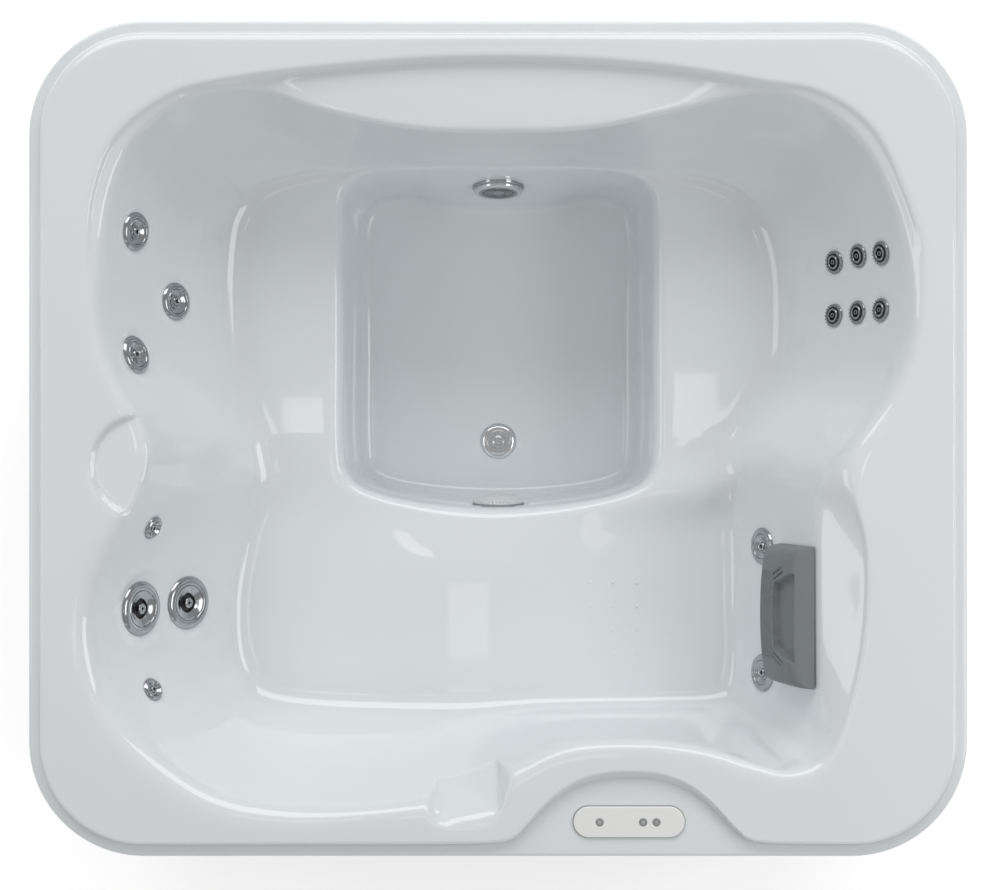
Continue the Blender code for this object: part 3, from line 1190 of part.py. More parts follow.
def pipes():
    """The suction pipe round the footwell to the filter, and the pressure pipe to the right side's jets."""
    rear = wall_place(SUCTION_HEIGHT, 1)
    inward = surface_normal(0.0, rear.y)
    start = rear - inward * (JET_SINK + JET_BODY_DEPTH + FIT_GAP)
    filter_x = -(VOLUTE_LENGTH + PORT_LENGTH + FILTER_RADIUS + FIT_GAP)
    beside = -FOOTWELL_TOP_HALF_LENGTH - 4 * PIPE_RADIUS
    behind = start.y + 3 * PIPE_RADIUS
    low = PUMP_HEIGHT
    route = [
        start, start - inward * PIPE_RADIUS, (-2 * PIPE_RADIUS, behind, SUCTION_HEIGHT), (beside / 2, behind, low),
        (beside, start.y, low), (beside, FOOTWELL_Y, low), (beside, -FOOTWELL_Y, low),
        (beside + PIPE_RADIUS, PUMP_Y + PIPE_RADIUS, low), (filter_x - FILTER_RADIUS - 2 * PIPE_RADIUS, PUMP_Y, low),
        (filter_x - FILTER_RADIUS - PIPE_END_GAP, PUMP_Y, low),
    ]
    tube("suction_pipe", [tuple(Vector(p)) for p in route], PIPE_RADIUS, grey_plastic())
    first = -VOLUTE_LENGTH / 2 - HEATER_RADIUS + HEATER_LENGTH + FIT_GAP
    side = HALF_LENGTH - RAIL_INSET - RAIL_WIDTH - 2 * PIPE_RADIUS
    route = [
        (first, PUMP_Y, HEATER_HEIGHT), (first + 2 * PIPE_RADIUS, PUMP_Y, HEATER_HEIGHT),
        (side - 4 * PIPE_RADIUS, PUMP_Y + 2 * PIPE_RADIUS, HEATER_HEIGHT), (side, PUMP_Y / 2, HEATER_HEIGHT),
        (side, FOOTWELL_Y, HEATER_HEIGHT), (side, 2 * FOOTWELL_Y, HEATER_HEIGHT),
    ]
    tube("pressure_pipe", route, PIPE_RADIUS, grey_plastic())


def shell(cutters):
    """The acrylic shell: its upper surface made solid, with every fitting's seat and opening cut."""
    obj = place("shell", shell_mesh(), acrylic())
    wall = obj.modifiers.new("sheet", "SOLIDIFY")
    wall.thickness = SHELL_WALL
    wall.offset = -1
    wall.use_even_offset = True
    combine(obj, cutters, "DIFFERENCE")
    return smooth(obj, 50)


def main():
    for obj in list(bpy.data.objects):
        bpy.data.objects.remove(obj)
    cutters = jets() + footwell_fittings() + controls()
    shell(cutters)
    pillow()
    cabinet()
    pump()
    heater()
    filter_set()
    control_box_and_drain()
    pipes()


main()
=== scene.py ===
"""Acrylic hot tub: a vacuum-formed shell on its cabinet, with jets, fittings, pillow, controls and pump set.

Run as a script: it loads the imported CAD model, dresses each of its pieces, and sets up the stage.
"""
import json
import math

import bmesh
import bpy
import numpy as np
from bpy.props import FloatProperty, FloatVectorProperty, IntProperty, PointerProperty
from mathutils import Matrix, Vector


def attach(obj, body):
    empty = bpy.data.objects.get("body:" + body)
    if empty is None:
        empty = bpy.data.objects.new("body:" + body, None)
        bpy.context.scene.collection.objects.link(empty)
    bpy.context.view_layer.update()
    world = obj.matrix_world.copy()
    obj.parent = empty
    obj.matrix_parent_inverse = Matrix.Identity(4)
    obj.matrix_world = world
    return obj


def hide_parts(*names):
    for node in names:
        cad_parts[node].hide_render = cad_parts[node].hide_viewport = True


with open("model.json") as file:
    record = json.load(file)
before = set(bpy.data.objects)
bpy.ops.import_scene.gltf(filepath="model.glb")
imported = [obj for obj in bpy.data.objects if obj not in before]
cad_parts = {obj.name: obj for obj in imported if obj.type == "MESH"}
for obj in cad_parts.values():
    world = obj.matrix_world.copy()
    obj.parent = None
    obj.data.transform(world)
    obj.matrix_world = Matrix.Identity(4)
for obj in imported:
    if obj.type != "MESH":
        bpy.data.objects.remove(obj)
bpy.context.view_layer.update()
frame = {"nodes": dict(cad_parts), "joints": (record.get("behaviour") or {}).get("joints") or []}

bl_info = {
    "name": "Acrylic hot tub",
    "version": (1, 0, 0),
    "blender": (4, 5, 0),
    "location": "3D View > Sidebar > Hot tub",
    "description": "Dresses the CAD frame of an acrylic hot tub, piece by piece",
    "category": "Add Mesh",
}

ROOT = "tub"

# Overall sizes of the tub, metres
HALF_LENGTH = 0.955
HALF_WIDTH = 0.85
RIM_HEIGHT = 0.76
CORNER_RADIUS = 0.235

# The shell's sheet, steps and levels
SHELL_WALL = 0.008
FLANGE_WIDTH = 0.025
FLANGE_DROP = 0.025
RIM_STEP_WIDTH = 0.007
SKIRT_DEPTH = 0.035
LEDGE_DROP = 0.034
HEADREST_DROP = 0.06
WALL_TOP_DROP = 0.02
LEDGE_STEP_WIDTH = 0.01
SEAT_HEIGHT = 0.4
LOUNGER_DROP = 0.015
FOOTWELL_FLOOR_HEIGHT = 0.1

# Plan sizes of the hollows
SEAT_LEVEL_HALF_LENGTH = HALF_LENGTH * 0.6335
SEAT_LEVEL_HALF_WIDTH = HALF_WIDTH * 0.7176
FOOTWELL_TOP_HALF_LENGTH = HALF_LENGTH * 0.3665
FOOTWELL_TOP_HALF_WIDTH = HALF_WIDTH * 0.4471
FOOTWELL_FLOOR_HALF_LENGTH = FOOTWELL_TOP_HALF_LENGTH - 0.024
FOOTWELL_FLOOR_HALF_WIDTH = FOOTWELL_TOP_HALF_WIDTH - 0.022
FOOTWELL_Y = HALF_WIDTH * 0.2612
POLE_Y = HALF_WIDTH * 0.1176

# Rounding lengths of the shell's rings
FLOOR_FILLET = 0.035
FOOTWELL_EDGE_FILLET = 0.03
SEAT_FILLET = 0.04
WALL_KNEE_FILLET = 0.12
WALL_TOP_FILLET = 0.014
RIM_INNER_FILLET = 0.01
RIM_OUTER_FILLET = 0.006
FLANGE_FILLET = 0.003
LIP_FILLET = 0.01
WALL_KNEE_PLAN_SHARE = 0.5
WALL_KNEE_RISE_SHARE = 0.34

# The control notch in the raised rim
NOTCH_X = HALF_LENGTH * 0.2785
NOTCH_HALF_WIDTH = 0.228
NOTCH_DEPTH = 0.134
NOTCH_POWER = 2.6
NOTCH_SOFTNESS = 0.06
NOTCH_BANK_SHARE = 0.085

# Where the rear ledge, the headrest facet, the lounger and its knee begin and end
LEDGE_X_SHARES = (0.48, 0.62)
LEDGE_Y_SHARES = (0.62, 0.7)
HEADREST_X_SHARES = (0.62, 0.66)
HEADREST_FRONT_SHARES = (-0.84, -0.7)
HEADREST_REAR_SHARES = (-0.16, -0.02)
LOUNGER_REAR_SHARES = (-0.22, 0.02)
KNEE_REAR_SHARES = (-0.34, -0.16)

# Low forms pressed into the shell
KNEE_X = HALF_LENGTH * -0.09
KNEE_HALF_WIDTH = 0.16
KNEE_RISE = 0.016
RIDGE_RISE = 0.024
RIDGE_HALF_WIDTH = 0.06

# Facets cut across the rim's inner edge: half sizes, squareness, depth at the middle, slopes along X and Y
LEFT_FACET = (0.117, 0.117, 2.0, 0.012, 0.05, 0.0)
FRONT_FACET = (0.078, 0.08, 3.2, 0.068, -0.28, 1.3)
FACET_FLOOR_SHARE = 0.84
FACET_WALL_SLOPE = 4.5
FACET_SOFTNESS = 0.013

# Where the rim's inner edge is stepped, where its outer edge rolls over, and how soft the rest is
CRISP_RIM_SHARES = (0.3, 0.55)
ROLLED_REAR_SHARES = (0.8, 0.95)
SOFT_STEP_SHARES = (0.45, 0.22)
SOFT_WALL_TOP = 0.02
SOFT_STEP = 0.014
SOFT_RIM_INNER = 0.022
ROLLED_RIM_OUTER = 0.03

# Closed rings of the shell, as shares of the half sizes that they follow
FOOTWELL_FLOOR_SHARES = [
    (0, 0.94), (0.35, 0.95), (0.62, 1.0), (0.85, 0.98), (0.97, 0.88), (1, 0.68), (1, 0), (1, -0.6),
    (0.96, -0.82), (0.8, -0.92), (0.42, -0.98), (0, -1), (-0.42, -0.98), (-0.8, -0.92), (-0.96, -0.82),
    (-1, -0.6), (-1, 0), (-1, 0.68), (-0.97, 0.88), (-0.85, 0.98), (-0.62, 1.0), (-0.35, 0.95),
]
FOOTWELL_TOP_SHARES = [
    (0, 1), (0.5, 1), (0.8, 0.98), (0.95, 0.91), (1, 0.74), (1, 0), (1, -0.6), (0.96, -0.8), (0.8, -0.9),
    (0.45, -0.97), (0, -1), (-0.45, -0.97), (-0.8, -0.9), (-0.96, -0.8), (-1, -0.6), (-1, 0), (-1, 0.74),
    (-0.95, 0.91), (-0.8, 0.98), (-0.5, 1),
]
SEAT_LEVEL_SHARES = [
    (0, 1.0), (-0.37, 1.0), (-0.66, 0.975), (-0.86, 0.91), (-0.95, 0.79), (-0.975, 0.62), (-0.97, 0.37),
    (-0.94, 0.14), (-0.88, -0.03), (-0.86, -0.17), (-0.92, -0.38), (-0.957, -0.6), (-0.945, -0.8),
    (-0.86, -0.93), (-0.63, -0.97), (-0.19, -0.98), (0.23, -0.98), (0.58, -0.975), (0.8, -0.955),
    (0.87, -0.875), (0.875, -0.6), (0.87, -0.34), (0.86, -0.17), (0.86, -0.04), (0.91, 0.07), (0.987, 0.22),
    (1.008, 0.44), (0.997, 0.66), (0.92, 0.835), (0.755, 0.945), (0.456, 0.985), (0.23, 1.0),
]
WALL_TOP_SHARES = [
    (0, 0.735), (-0.187, 0.744), (-0.368, 0.785), (-0.528, 0.838), (-0.677, 0.802), (-0.783, 0.701),
    (-0.83, 0.57), (-0.843, 0.427), (-0.84, 0.283), (-0.815, 0.164), (-0.762, 0.056), (-0.74, -0.039),
    (-0.762, -0.147), (-0.809, -0.254), (-0.851, -0.362), (-0.864, -0.481), (-0.83, -0.625), (-0.74, -0.744),
    (-0.602, -0.845), (-0.443, -0.878), (-0.251, -0.871), (-0.07, -0.84), (0.036, -0.78), (0.153, -0.725),
    (0.302, -0.716), (0.43, -0.732), (0.526, -0.763), (0.611, -0.787), (0.668, -0.745), (0.687, -0.661),
    (0.687, -0.434), (0.687, -0.171), (0.698, -0.094), (0.749, -0.016), (0.834, 0.121), (0.872, 0.259),
    (0.872, 0.427), (0.84, 0.57), (0.77, 0.713), (0.668, 0.799), (0.547, 0.828), (0.377, 0.785),
    (0.196, 0.744),
]
RIM_INNER_SHARES = [
    (0, 0.907), (-0.166, 0.902), (-0.351, 0.885), (-0.528, 0.862), (-0.687, 0.826), (-0.809, 0.725),
    (-0.86, 0.594), (-0.874, 0.45), (-0.872, 0.283), (-0.851, 0.176), (-0.8, 0.063), (-0.779, -0.039),
    (-0.8, -0.147), (-0.847, -0.231), (-0.902, -0.35), (-0.917, -0.481), (-0.879, -0.63), (-0.772, -0.78),
    (-0.623, -0.888), (-0.453, -0.921), (-0.251, -0.907), (-0.07, -0.878), (0.036, -0.823), (0.143, -0.761),
    (0.302, -0.744), (0.43, -0.761), (0.557, -0.804), (0.643, -0.809), (0.706, -0.756), (0.745, -0.649),
    (0.774, -0.505), (0.785, -0.355), (0.779, -0.243), (0.757, -0.123), (0.787, -0.039), (0.872, 0.092),
    (0.915, 0.259), (0.906, 0.427), (0.866, 0.582), (0.796, 0.737), (0.685, 0.826), (0.547, 0.852),
    (0.36, 0.885), (0.174, 0.902),
]
RIDGE_SHARES = [(0.1, -0.18), (0.47, -0.13), (0.62, -0.06), (0.7, 0.04)]
LEFT_FACET_SHARES = (-0.754, -0.064)
FRONT_FACET_SHARES = (-0.066, -0.843)

# Jets by name: kind, then the place in plan as shares of the half length and half width
JET_PLACES_SHARES = {
    "jet_large_1": ("large", -0.786, -0.421),
    "jet_large_2": ("large", -0.705, -0.419),
    "jet_medium_1": ("medium", -0.79, 0.508),
    "jet_medium_2": ("medium", -0.727, 0.349),
    "jet_medium_3": ("medium", -0.787, 0.206),
    "jet_shoulder_1": ("medium", 0.604, -0.276),
    "jet_shoulder_2": ("medium", 0.605, -0.601),
    "jet_small_1": ("small", -0.752, -0.219),
    "jet_small_2": ("small", -0.757, -0.618),
    "jet_cluster_1": ("cluster", 0.756, 0.447),
    "jet_cluster_2": ("cluster", 0.795, 0.454),
    "jet_cluster_3": ("cluster", 0.83, 0.452),
    "jet_cluster_4": ("cluster", 0.757, 0.313),
    "jet_cluster_5": ("cluster", 0.796, 0.315),
    "jet_cluster_6": ("cluster", 0.832, 0.315),
}
JET_RADII = {"large": 0.058, "medium": 0.041, "small": 0.0255, "cluster": 0.0255}
JET_SINK = 0.002
JET_BODY_DEPTH = 0.055
JET_BARB_LENGTH = 0.02
JET_BARB_RADIUS = 0.01
JET_FACE_DEPTH = 0.03
JET_HOLE_SHARE = 0.74

# Fittings of the footwell
SUCTION_RADIUS = 0.06
SUCTION_HEIGHT = 0.262
SUCTION_RISE = 0.016
FLOOR_FITTING_RADIUS = 0.043
FLOOR_FITTING_Y = FOOTWELL_Y - FOOTWELL_FLOOR_HALF_WIDTH * 0.6313
LIGHT_RADIUS = 0.06
LIGHT_HEIGHT = 0.25
LIGHT_RISE = 0.012
LIGHT_DOME = 0.012

# Controls
CONTROL_LENGTH = 0.226
CONTROL_WIDTH = 0.063
CONTROL_WALL = 0.006
CONTROL_Y = 0.072 - HALF_WIDTH
CONTROL_BODY_LENGTH = 0.17
CONTROL_BODY_WIDTH = 0.044
CONTROL_BODY_DEPTH = 0.02
BUTTON_RADIUS = 0.008
BUTTON_HEIGHT = 0.0035
BUTTON_RISE = 0.0012
BUTTON_TRAVEL = 0.0015
BUTTON_X_SHARES = (-0.53, 0.25, 0.49)

# Pillow, with its crescent hollow, the ribbed band below it, and the slits at its corners
PILLOW_LENGTH = 0.292
PILLOW_HEIGHT = 0.15
PILLOW_DEPTH = 0.058
PILLOW_EDGE = 0.004
PILLOW_CROWN = 0.014
PILLOW_CORNER_POWER = 12
PILLOW_EDGE_POWER = 0.3
PILLOW_BOW_SHARE = 0.16
PILLOW_COLUMNS = 180
PILLOW_ROWS = 110
RECESS_DEPTH = 0.015
RECESS_HALF_LENGTHS = (0.066, 0.092)
RECESS_LOW = -0.001
RECESS_HIGH = 0.068
RECESS_BEND = 0.018
BAND_LOW = -0.066
BAND_DEPTH = 0.002
BAND_PITCH = 0.006
PILLOW_SLITS = ((0.094, 0.034, 0.076, 0.0), (0.101, 0.026, 0.085, -0.006))
SLIT_WIDTH = 0.0022
SLIT_DEPTH = 0.004

# Raised grip dots on the lounger
GRIP_MIDDLE = (0.257, -0.4)
GRIP_PITCH = 0.053
GRIP_COUNTS = (3, 4)
GRIP_SIZE = 0.007
GRIP_RISE = 0.0007

# Cabinet
PAN_INSET = 0.02
PAN_HEIGHT = 0.03
PEDESTAL_INSET = 0.076
PEDESTAL_CLEARANCE = 0.003
PANEL_INSET = 0.011
PANEL_WALL = 0.012
PANEL_TOP_GAP = 0.002
LEG_WIDTH = 0.045
LEG_DEPTH = 0.055
RAIL_DEPTH = 0.06
RAIL_TOP_GAP = 0.006
RAIL_WIDTH = 0.022
RAIL_INSET = 0.046
FRONT_RAIL_DROP = 0.0505
STRIP_HEIGHT = 0.036
BOARD_WALL = 0.004
SLAT_PITCH = 0.092
SLAT_GAP = 0.003
SLAT_EDGE = 0.0025
POST_STEPS = 48
POST_FLUTES = 6
POST_FLUTE_DEPTH = 0.0022

# Pump, heater, filter, control box, drain and pipes
PUMP_Y = HALF_WIDTH * -0.5294
PUMP_HEIGHT = 0.15
VOLUTE_RADIUS = 0.085
VOLUTE_LENGTH = 0.06
VOLUTE_WALL = 0.008
PORT_RADIUS = 0.036
PORT_LENGTH = 0.05
PORT_WALL = 0.006
SHAFT_RADIUS = 0.008
SHAFT_CLEARANCE = 0.004
IMPELLER_RADIUS = 0.066
IMPELLER_WIDTH = 0.026
MOTOR_RADIUS = 0.078
MOTOR_LENGTH = 0.26
MOTOR_WALL = 0.008
ROTOR_RADIUS = 0.046
ROTOR_LENGTH = 0.15
FOOT_WIDTH = 0.12
FOOT_LENGTH = 0.18
HEATER_RADIUS = 0.028
HEATER_LENGTH = 0.38
HEATER_HEIGHT = 0.27
FILTER_RADIUS = 0.09
FILTER_HEIGHT = 0.24
FILTER_WALL = 0.006
CARTRIDGE_RADIUS = 0.066
CARTRIDGE_BORE = 0.025
LID_HEIGHT = 0.022
BOX_LENGTH = 0.28
BOX_WIDTH = 0.11
BOX_HEIGHT = 0.2
BOX_X = 0.455 - HALF_LENGTH
BOX_Y = 0.23 - HALF_WIDTH
DRAIN_RADIUS = 0.022
DRAIN_LENGTH = 0.07
DRAIN_X = BOX_X + BOX_LENGTH / 2 + 0.06
DRAIN_Y = 0.15 - HALF_WIDTH
PIPE_RADIUS = 0.024
PIPE_END_GAP = 0.0009
FIT_GAP = 0.0003
TURN_GAP = 0.0005

# How finely the shell is drawn: spokes, then each corner's rounding steps and each run's steps
SPLINE_STEPS = 24
OUTLINE_CORNER_STEPS = 48
RIM_SIDE_STEPS = 400
LIP_SIDE_STEPS = 200
FILLET_REACH = 0.45
HALVINGS = 40
FINE_FILLETS = [8] * 10
FILLET_STEPS = [7, 7, 11, 12, 7, 5, 7, 7, 4, 7]
RUN_STEPS = [14, 8, 10, 4, 12, 7, 1, 26, 1, 2, 2]
FINE_DIRECTIONS = 7200
CORNER_MARK_INSET = 0.08
UNDERSIDE_SPOKES = 4
UNDERSIDE_ROWS = 3

# Soft dishes round the fittings and the holes under them, as shares of the fittings' radii
DISH_HOLD_SHARE = 1.03
SUCTION_DISH_SHARE = 1.12
LIGHT_DISH_SHARE = 1.1
FLOOR_DISH_SHARE = 1.32
FLOOR_HOLE_SHARE = 0.36
PLUG_RISE = 0.03
PLUG_DEPTH = 0.05

# Stage: the floor, the world's light, the camera, and the soft boxes with their aim, width, height and watts
FLOOR_HALF = 12.0
FLOOR_DROP = 0.0005
WORLD_LIGHT = 0.395
SENSOR_WIDTH = 36.0
CAMERA_PLACE = (0.004, -0.013)
SOFT_BOXES = {
    "rear_softbox": ((0, 7.3, 6), (0, 0, 0.5), 12, 5, 415),
    "front_strip": ((0, -4, 3.4), (0, 0.55, 0.4), 5, 0.2, 5),
    "left_softbox": ((-3, 0, 3.2), (0, 0, 0.5), 1.8, 1.2, 10),
    "right_softbox": ((3, -0.3, 3.2), (0, 0, 0.5), 2.2, 1.4, 24),
    "seat_glint_left": ((-0.816, 0.094, 4), (-0.816, 0.094, 0), 0.26, 0.2, 0.27),
    "seat_glint_right": ((0.818, 0.17, 4), (0.818, 0.17, 0), 0.26, 0.26, 0.32),
    "lounger_glint": ((0, -0.76, 4), (0, -0.76, 0), 0.9, 0.38, 0.8),
}


def rounded_rectangle(half_length, half_width, radius, corner_steps, side_steps):
    """Points of a rounded rectangle, anticlockwise, with its sides divided."""
    points = []
    for sign_x, sign_y, start in ((1, 1, 0), (-1, 1, 90), (-1, -1, 180), (1, -1, 270)):
        centre = (sign_x * (half_length - radius), sign_y * (half_width - radius))
        for i in range(corner_steps + 1):
            angle = math.radians(start + 90 * i / corner_steps)
            points.append((centre[0] + radius * math.cos(angle), centre[1] + radius * math.sin(angle)))
        last = points[-1]
        run = half_length - radius if start in (0, 180) else half_width - radius
        turn = math.radians(start + 180)
        for i in range(1, side_steps):
            step = 2 * run * i / side_steps
            points.append((last[0] + step * math.cos(turn), last[1] + step * math.sin(turn)))
    return points


def smooth_closed(points, steps=SPLINE_STEPS):
    """A closed Catmull-Rom curve through the points."""
    p = np.array(points, float)
    before, after, beyond = np.roll(p, 1, 0), np.roll(p, -1, 0), np.roll(p, -2, 0)
    rows = []
    for t in np.arange(steps) / steps:
        bend = (2 * before - 5 * p + 4 * after - beyond) * t**2 / 2
        rows.append(p + (after - before) * t / 2 + bend + (3 * p - before - 3 * after + beyond) * t**3 / 2)
    return np.stack(rows, 1).reshape(-1, 2)


class Ring:
    """One closed ring of the shell, as its distance from the pole in each direction."""

    def __init__(self, points):
        p = np.array(points, float) - (0, POLE_Y)
        angle = np.arctan2(p[:, 1], p[:, 0])
        order = np.argsort(angle)
        self.angle = angle[order]
        self.radius = np.hypot(p[:, 0], p[:, 1])[order]

    def __call__(self, angle):
        return np.interp(angle, self.angle, self.radius, period=2 * math.pi)


def scaled(shares, half_length, half_width, centre_y=0.0):
    """Points of a table of shares, at their real places."""
    return [(x * half_length, centre_y + y * half_width) for x, y in shares]


def notch_depth(x):
    """How far the raised rim draws back from the front edge at x."""
    share = np.abs(x - NOTCH_X) / NOTCH_HALF_WIDTH
    bell = 1 - share**NOTCH_POWER
    return NOTCH_DEPTH * (bell + np.sqrt(bell**2 + NOTCH_SOFTNESS)) / (1 + math.sqrt(1 + NOTCH_SOFTNESS))


def rim_outer_points(inset, bank_share=0.0):
    """The raised rim's outer edge: the lip's outline set in, with the control notch at the front."""
    outline = rounded_rectangle(HALF_LENGTH - inset, HALF_WIDTH - inset, CORNER_RADIUS - inset,
                                OUTLINE_CORNER_STEPS, RIM_SIDE_STEPS)
    return [(x, y + (notch_depth(x) * (1 + bank_share) if y < 0 else 0)) for x, y in outline]


def curved_ring(shares, half_length, half_width, centre_y=0.0):
    """The ring of a smooth curve through a table of shares."""
    return Ring(smooth_closed(scaled(shares, half_length, half_width, centre_y)))


FLOOR_RING = curved_ring(FOOTWELL_FLOOR_SHARES, FOOTWELL_FLOOR_HALF_LENGTH, FOOTWELL_FLOOR_HALF_WIDTH,
                         FOOTWELL_Y)
FOOTWELL_RING = curved_ring(FOOTWELL_TOP_SHARES, FOOTWELL_TOP_HALF_LENGTH, FOOTWELL_TOP_HALF_WIDTH,
                            FOOTWELL_Y)
SEAT_RING = curved_ring(SEAT_LEVEL_SHARES, SEAT_LEVEL_HALF_LENGTH, SEAT_LEVEL_HALF_WIDTH)
WALL_TOP_RING = curved_ring(WALL_TOP_SHARES, HALF_LENGTH, HALF_WIDTH)
RIM_INNER_RING = curved_ring(RIM_INNER_SHARES, HALF_LENGTH, HALF_WIDTH)
RIM_OUTER_RING = Ring(rim_outer_points(FLANGE_WIDTH + RIM_STEP_WIDTH, NOTCH_BANK_SHARE))
FLANGE_RING = Ring(rim_outer_points(FLANGE_WIDTH))
LIP_RING = Ring(rounded_rectangle(HALF_LENGTH, HALF_WIDTH, CORNER_RADIUS, OUTLINE_CORNER_STEPS,
                                  LIP_SIDE_STEPS))


def smooth_step(low, high, value):
    """0 below low, 1 above high, and an S-curve between."""
    t = np.clip((value - low) / (high - low), 0, 1)
    return t * t * (3 - 2 * t)


def wall_top_zones(x, y):
    """Shares of the rear ledge and of the headrest facet at a place on the wall's top."""
    x_share, y_share = x / HALF_LENGTH, y / HALF_WIDTH
    ledge = smooth_step(*LEDGE_Y_SHARES, y_share) * (1 - smooth_step(*LEDGE_X_SHARES, np.abs(x_share)))
    headrest = smooth_step(*HEADREST_X_SHARES, x_share) * (1 - smooth_step(*HEADREST_REAR_SHARES, y_share))
    return ledge, headrest * smooth_step(*HEADREST_FRONT_SHARES, y_share)


def seat_relief(x, y):
    """What the seats and the lounger add to the common seat level."""
    on_lounger = 1 - smooth_step(*LOUNGER_REAR_SHARES, y / HALF_WIDTH)
    under_knee = 1 - smooth_step(*KNEE_REAR_SHARES, y / HALF_WIDTH)
    knee = KNEE_RISE * np.exp(-(((x - KNEE_X) / KNEE_HALF_WIDTH) ** 2)) * under_knee
    ridge = np.zeros_like(x)
    points = scaled(RIDGE_SHARES, HALF_LENGTH, HALF_WIDTH)
    for (ax, ay), (bx, by) in zip(points, points[1:]):
        run = (bx - ax) ** 2 + (by - ay) ** 2
        t = np.clip(((x - ax) * (bx - ax) + (y - ay) * (by - ay)) / run, 0, 1)
        away = np.hypot(x - ax - t * (bx - ax), y - ay - t * (by - ay))
        ridge = np.maximum(ridge, np.exp(-((away / RIDGE_HALF_WIDTH) ** 2)))
    start = smooth_step(points[0][0], points[1][0], x)
    return knee + RIDGE_RISE * ridge * start - LOUNGER_DROP * on_lounger


def with_facet(x, y, heights, place, facet):
    """The heights after a tilted facet with soft edges is cut at a place."""
    half_length, half_width, power, depth, slope_x, slope_y = facet
    across, along = x - place[0] * HALF_LENGTH, y - place[1] * HALF_WIDTH
    reach = ((np.abs(across) / half_length) ** power + (np.abs(along) / half_width) ** power) ** (1 / power)
    wall = FACET_WALL_SLOPE * half_length * np.maximum(reach - FACET_FLOOR_SHARE, 0)
    floor = RIM_HEIGHT - depth - slope_x * across - slope_y * along + wall
    return (heights + floor - np.hypot(heights - floor, FACET_SOFTNESS)) / 2


def shell_profile(angle, fillet_steps, run_steps=(1,) * 11):
    """Distances from the pole and heights of the shell's surface, for an array of directions."""
    angle = np.asarray(angle, float)
    floor, footwell, seat = FLOOR_RING(angle), FOOTWELL_RING(angle), SEAT_RING(angle)
    wall_top, rim_inner = WALL_TOP_RING(angle), RIM_INNER_RING(angle)
    rim_outer, flange, lip = RIM_OUTER_RING(angle), FLANGE_RING(angle), LIP_RING(angle)
    level = np.ones_like(angle)
    ledge, headrest = wall_top_zones(wall_top * np.cos(angle), POLE_Y + wall_top * np.sin(angle))
    drop = WALL_TOP_DROP + (LEDGE_DROP - WALL_TOP_DROP) * ledge + (HEADREST_DROP - WALL_TOP_DROP) * headrest
    knee = seat + (wall_top - seat) * WALL_KNEE_PLAN_SHARE
    knee_z = SEAT_HEIGHT + (RIM_HEIGHT - drop - SEAT_HEIGHT) * WALL_KNEE_RISE_SHARE
    step_z = RIM_HEIGHT - WALL_TOP_DROP / 2 - (LEDGE_DROP - WALL_TOP_DROP) * ledge
    soft_rim = 1 - smooth_step(*CRISP_RIM_SHARES, (POLE_Y + rim_inner * np.sin(angle)) / HALF_WIDTH)
    soft_rim = soft_rim * (1 - headrest)
    rolled = smooth_step(*ROLLED_REAR_SHARES, (POLE_Y + rim_outer * np.sin(angle)) / HALF_WIDTH)
    step_r = rim_inner - LEDGE_STEP_WIDTH
    step_r += (wall_top + (rim_inner - wall_top) * SOFT_STEP_SHARES[0] - step_r) * soft_rim
    step_z += (RIM_HEIGHT - drop * SOFT_STEP_SHARES[1] - step_z) * soft_rim
    flange_z = RIM_HEIGHT - FLANGE_DROP
    corners = [
        (0 * level, FOOTWELL_FLOOR_HEIGHT * level, 0),
        (floor, FOOTWELL_FLOOR_HEIGHT * level, FLOOR_FILLET),
        (footwell, SEAT_HEIGHT * level, FOOTWELL_EDGE_FILLET),
        (seat, SEAT_HEIGHT * level, SEAT_FILLET),
        (knee, knee_z, WALL_KNEE_FILLET),
        (wall_top, RIM_HEIGHT - drop, WALL_TOP_FILLET + SOFT_WALL_TOP * soft_rim),
        (step_r, step_z, LEDGE_STEP_WIDTH / 4 + SOFT_STEP * soft_rim),
        (rim_inner, RIM_HEIGHT * level, RIM_INNER_FILLET + SOFT_RIM_INNER * soft_rim),
        (rim_outer, RIM_HEIGHT * level, RIM_OUTER_FILLET + ROLLED_RIM_OUTER * rolled),
        (flange, flange_z * level, FLANGE_FILLET),
        (lip, flange_z * level, LIP_FILLET),
        (lip, (flange_z - SKIRT_DEPTH) * level, 0),
    ]
    radii, heights = round_corners(corners, fillet_steps, run_steps)
    x = radii * np.cos(angle)
    y = POLE_Y + radii * np.sin(angle)
    inner = np.clip((radii - floor) / (footwell - floor), 0, 1)
    outer = np.clip((wall_top - radii) / (wall_top - seat), 0, 1)
    heights = heights + seat_relief(x, y) * inner * outer
    heights = with_facet(x, y, heights, LEFT_FACET_SHARES, LEFT_FACET)
    return radii, with_facet(x, y, heights, FRONT_FACET_SHARES, FRONT_FACET)


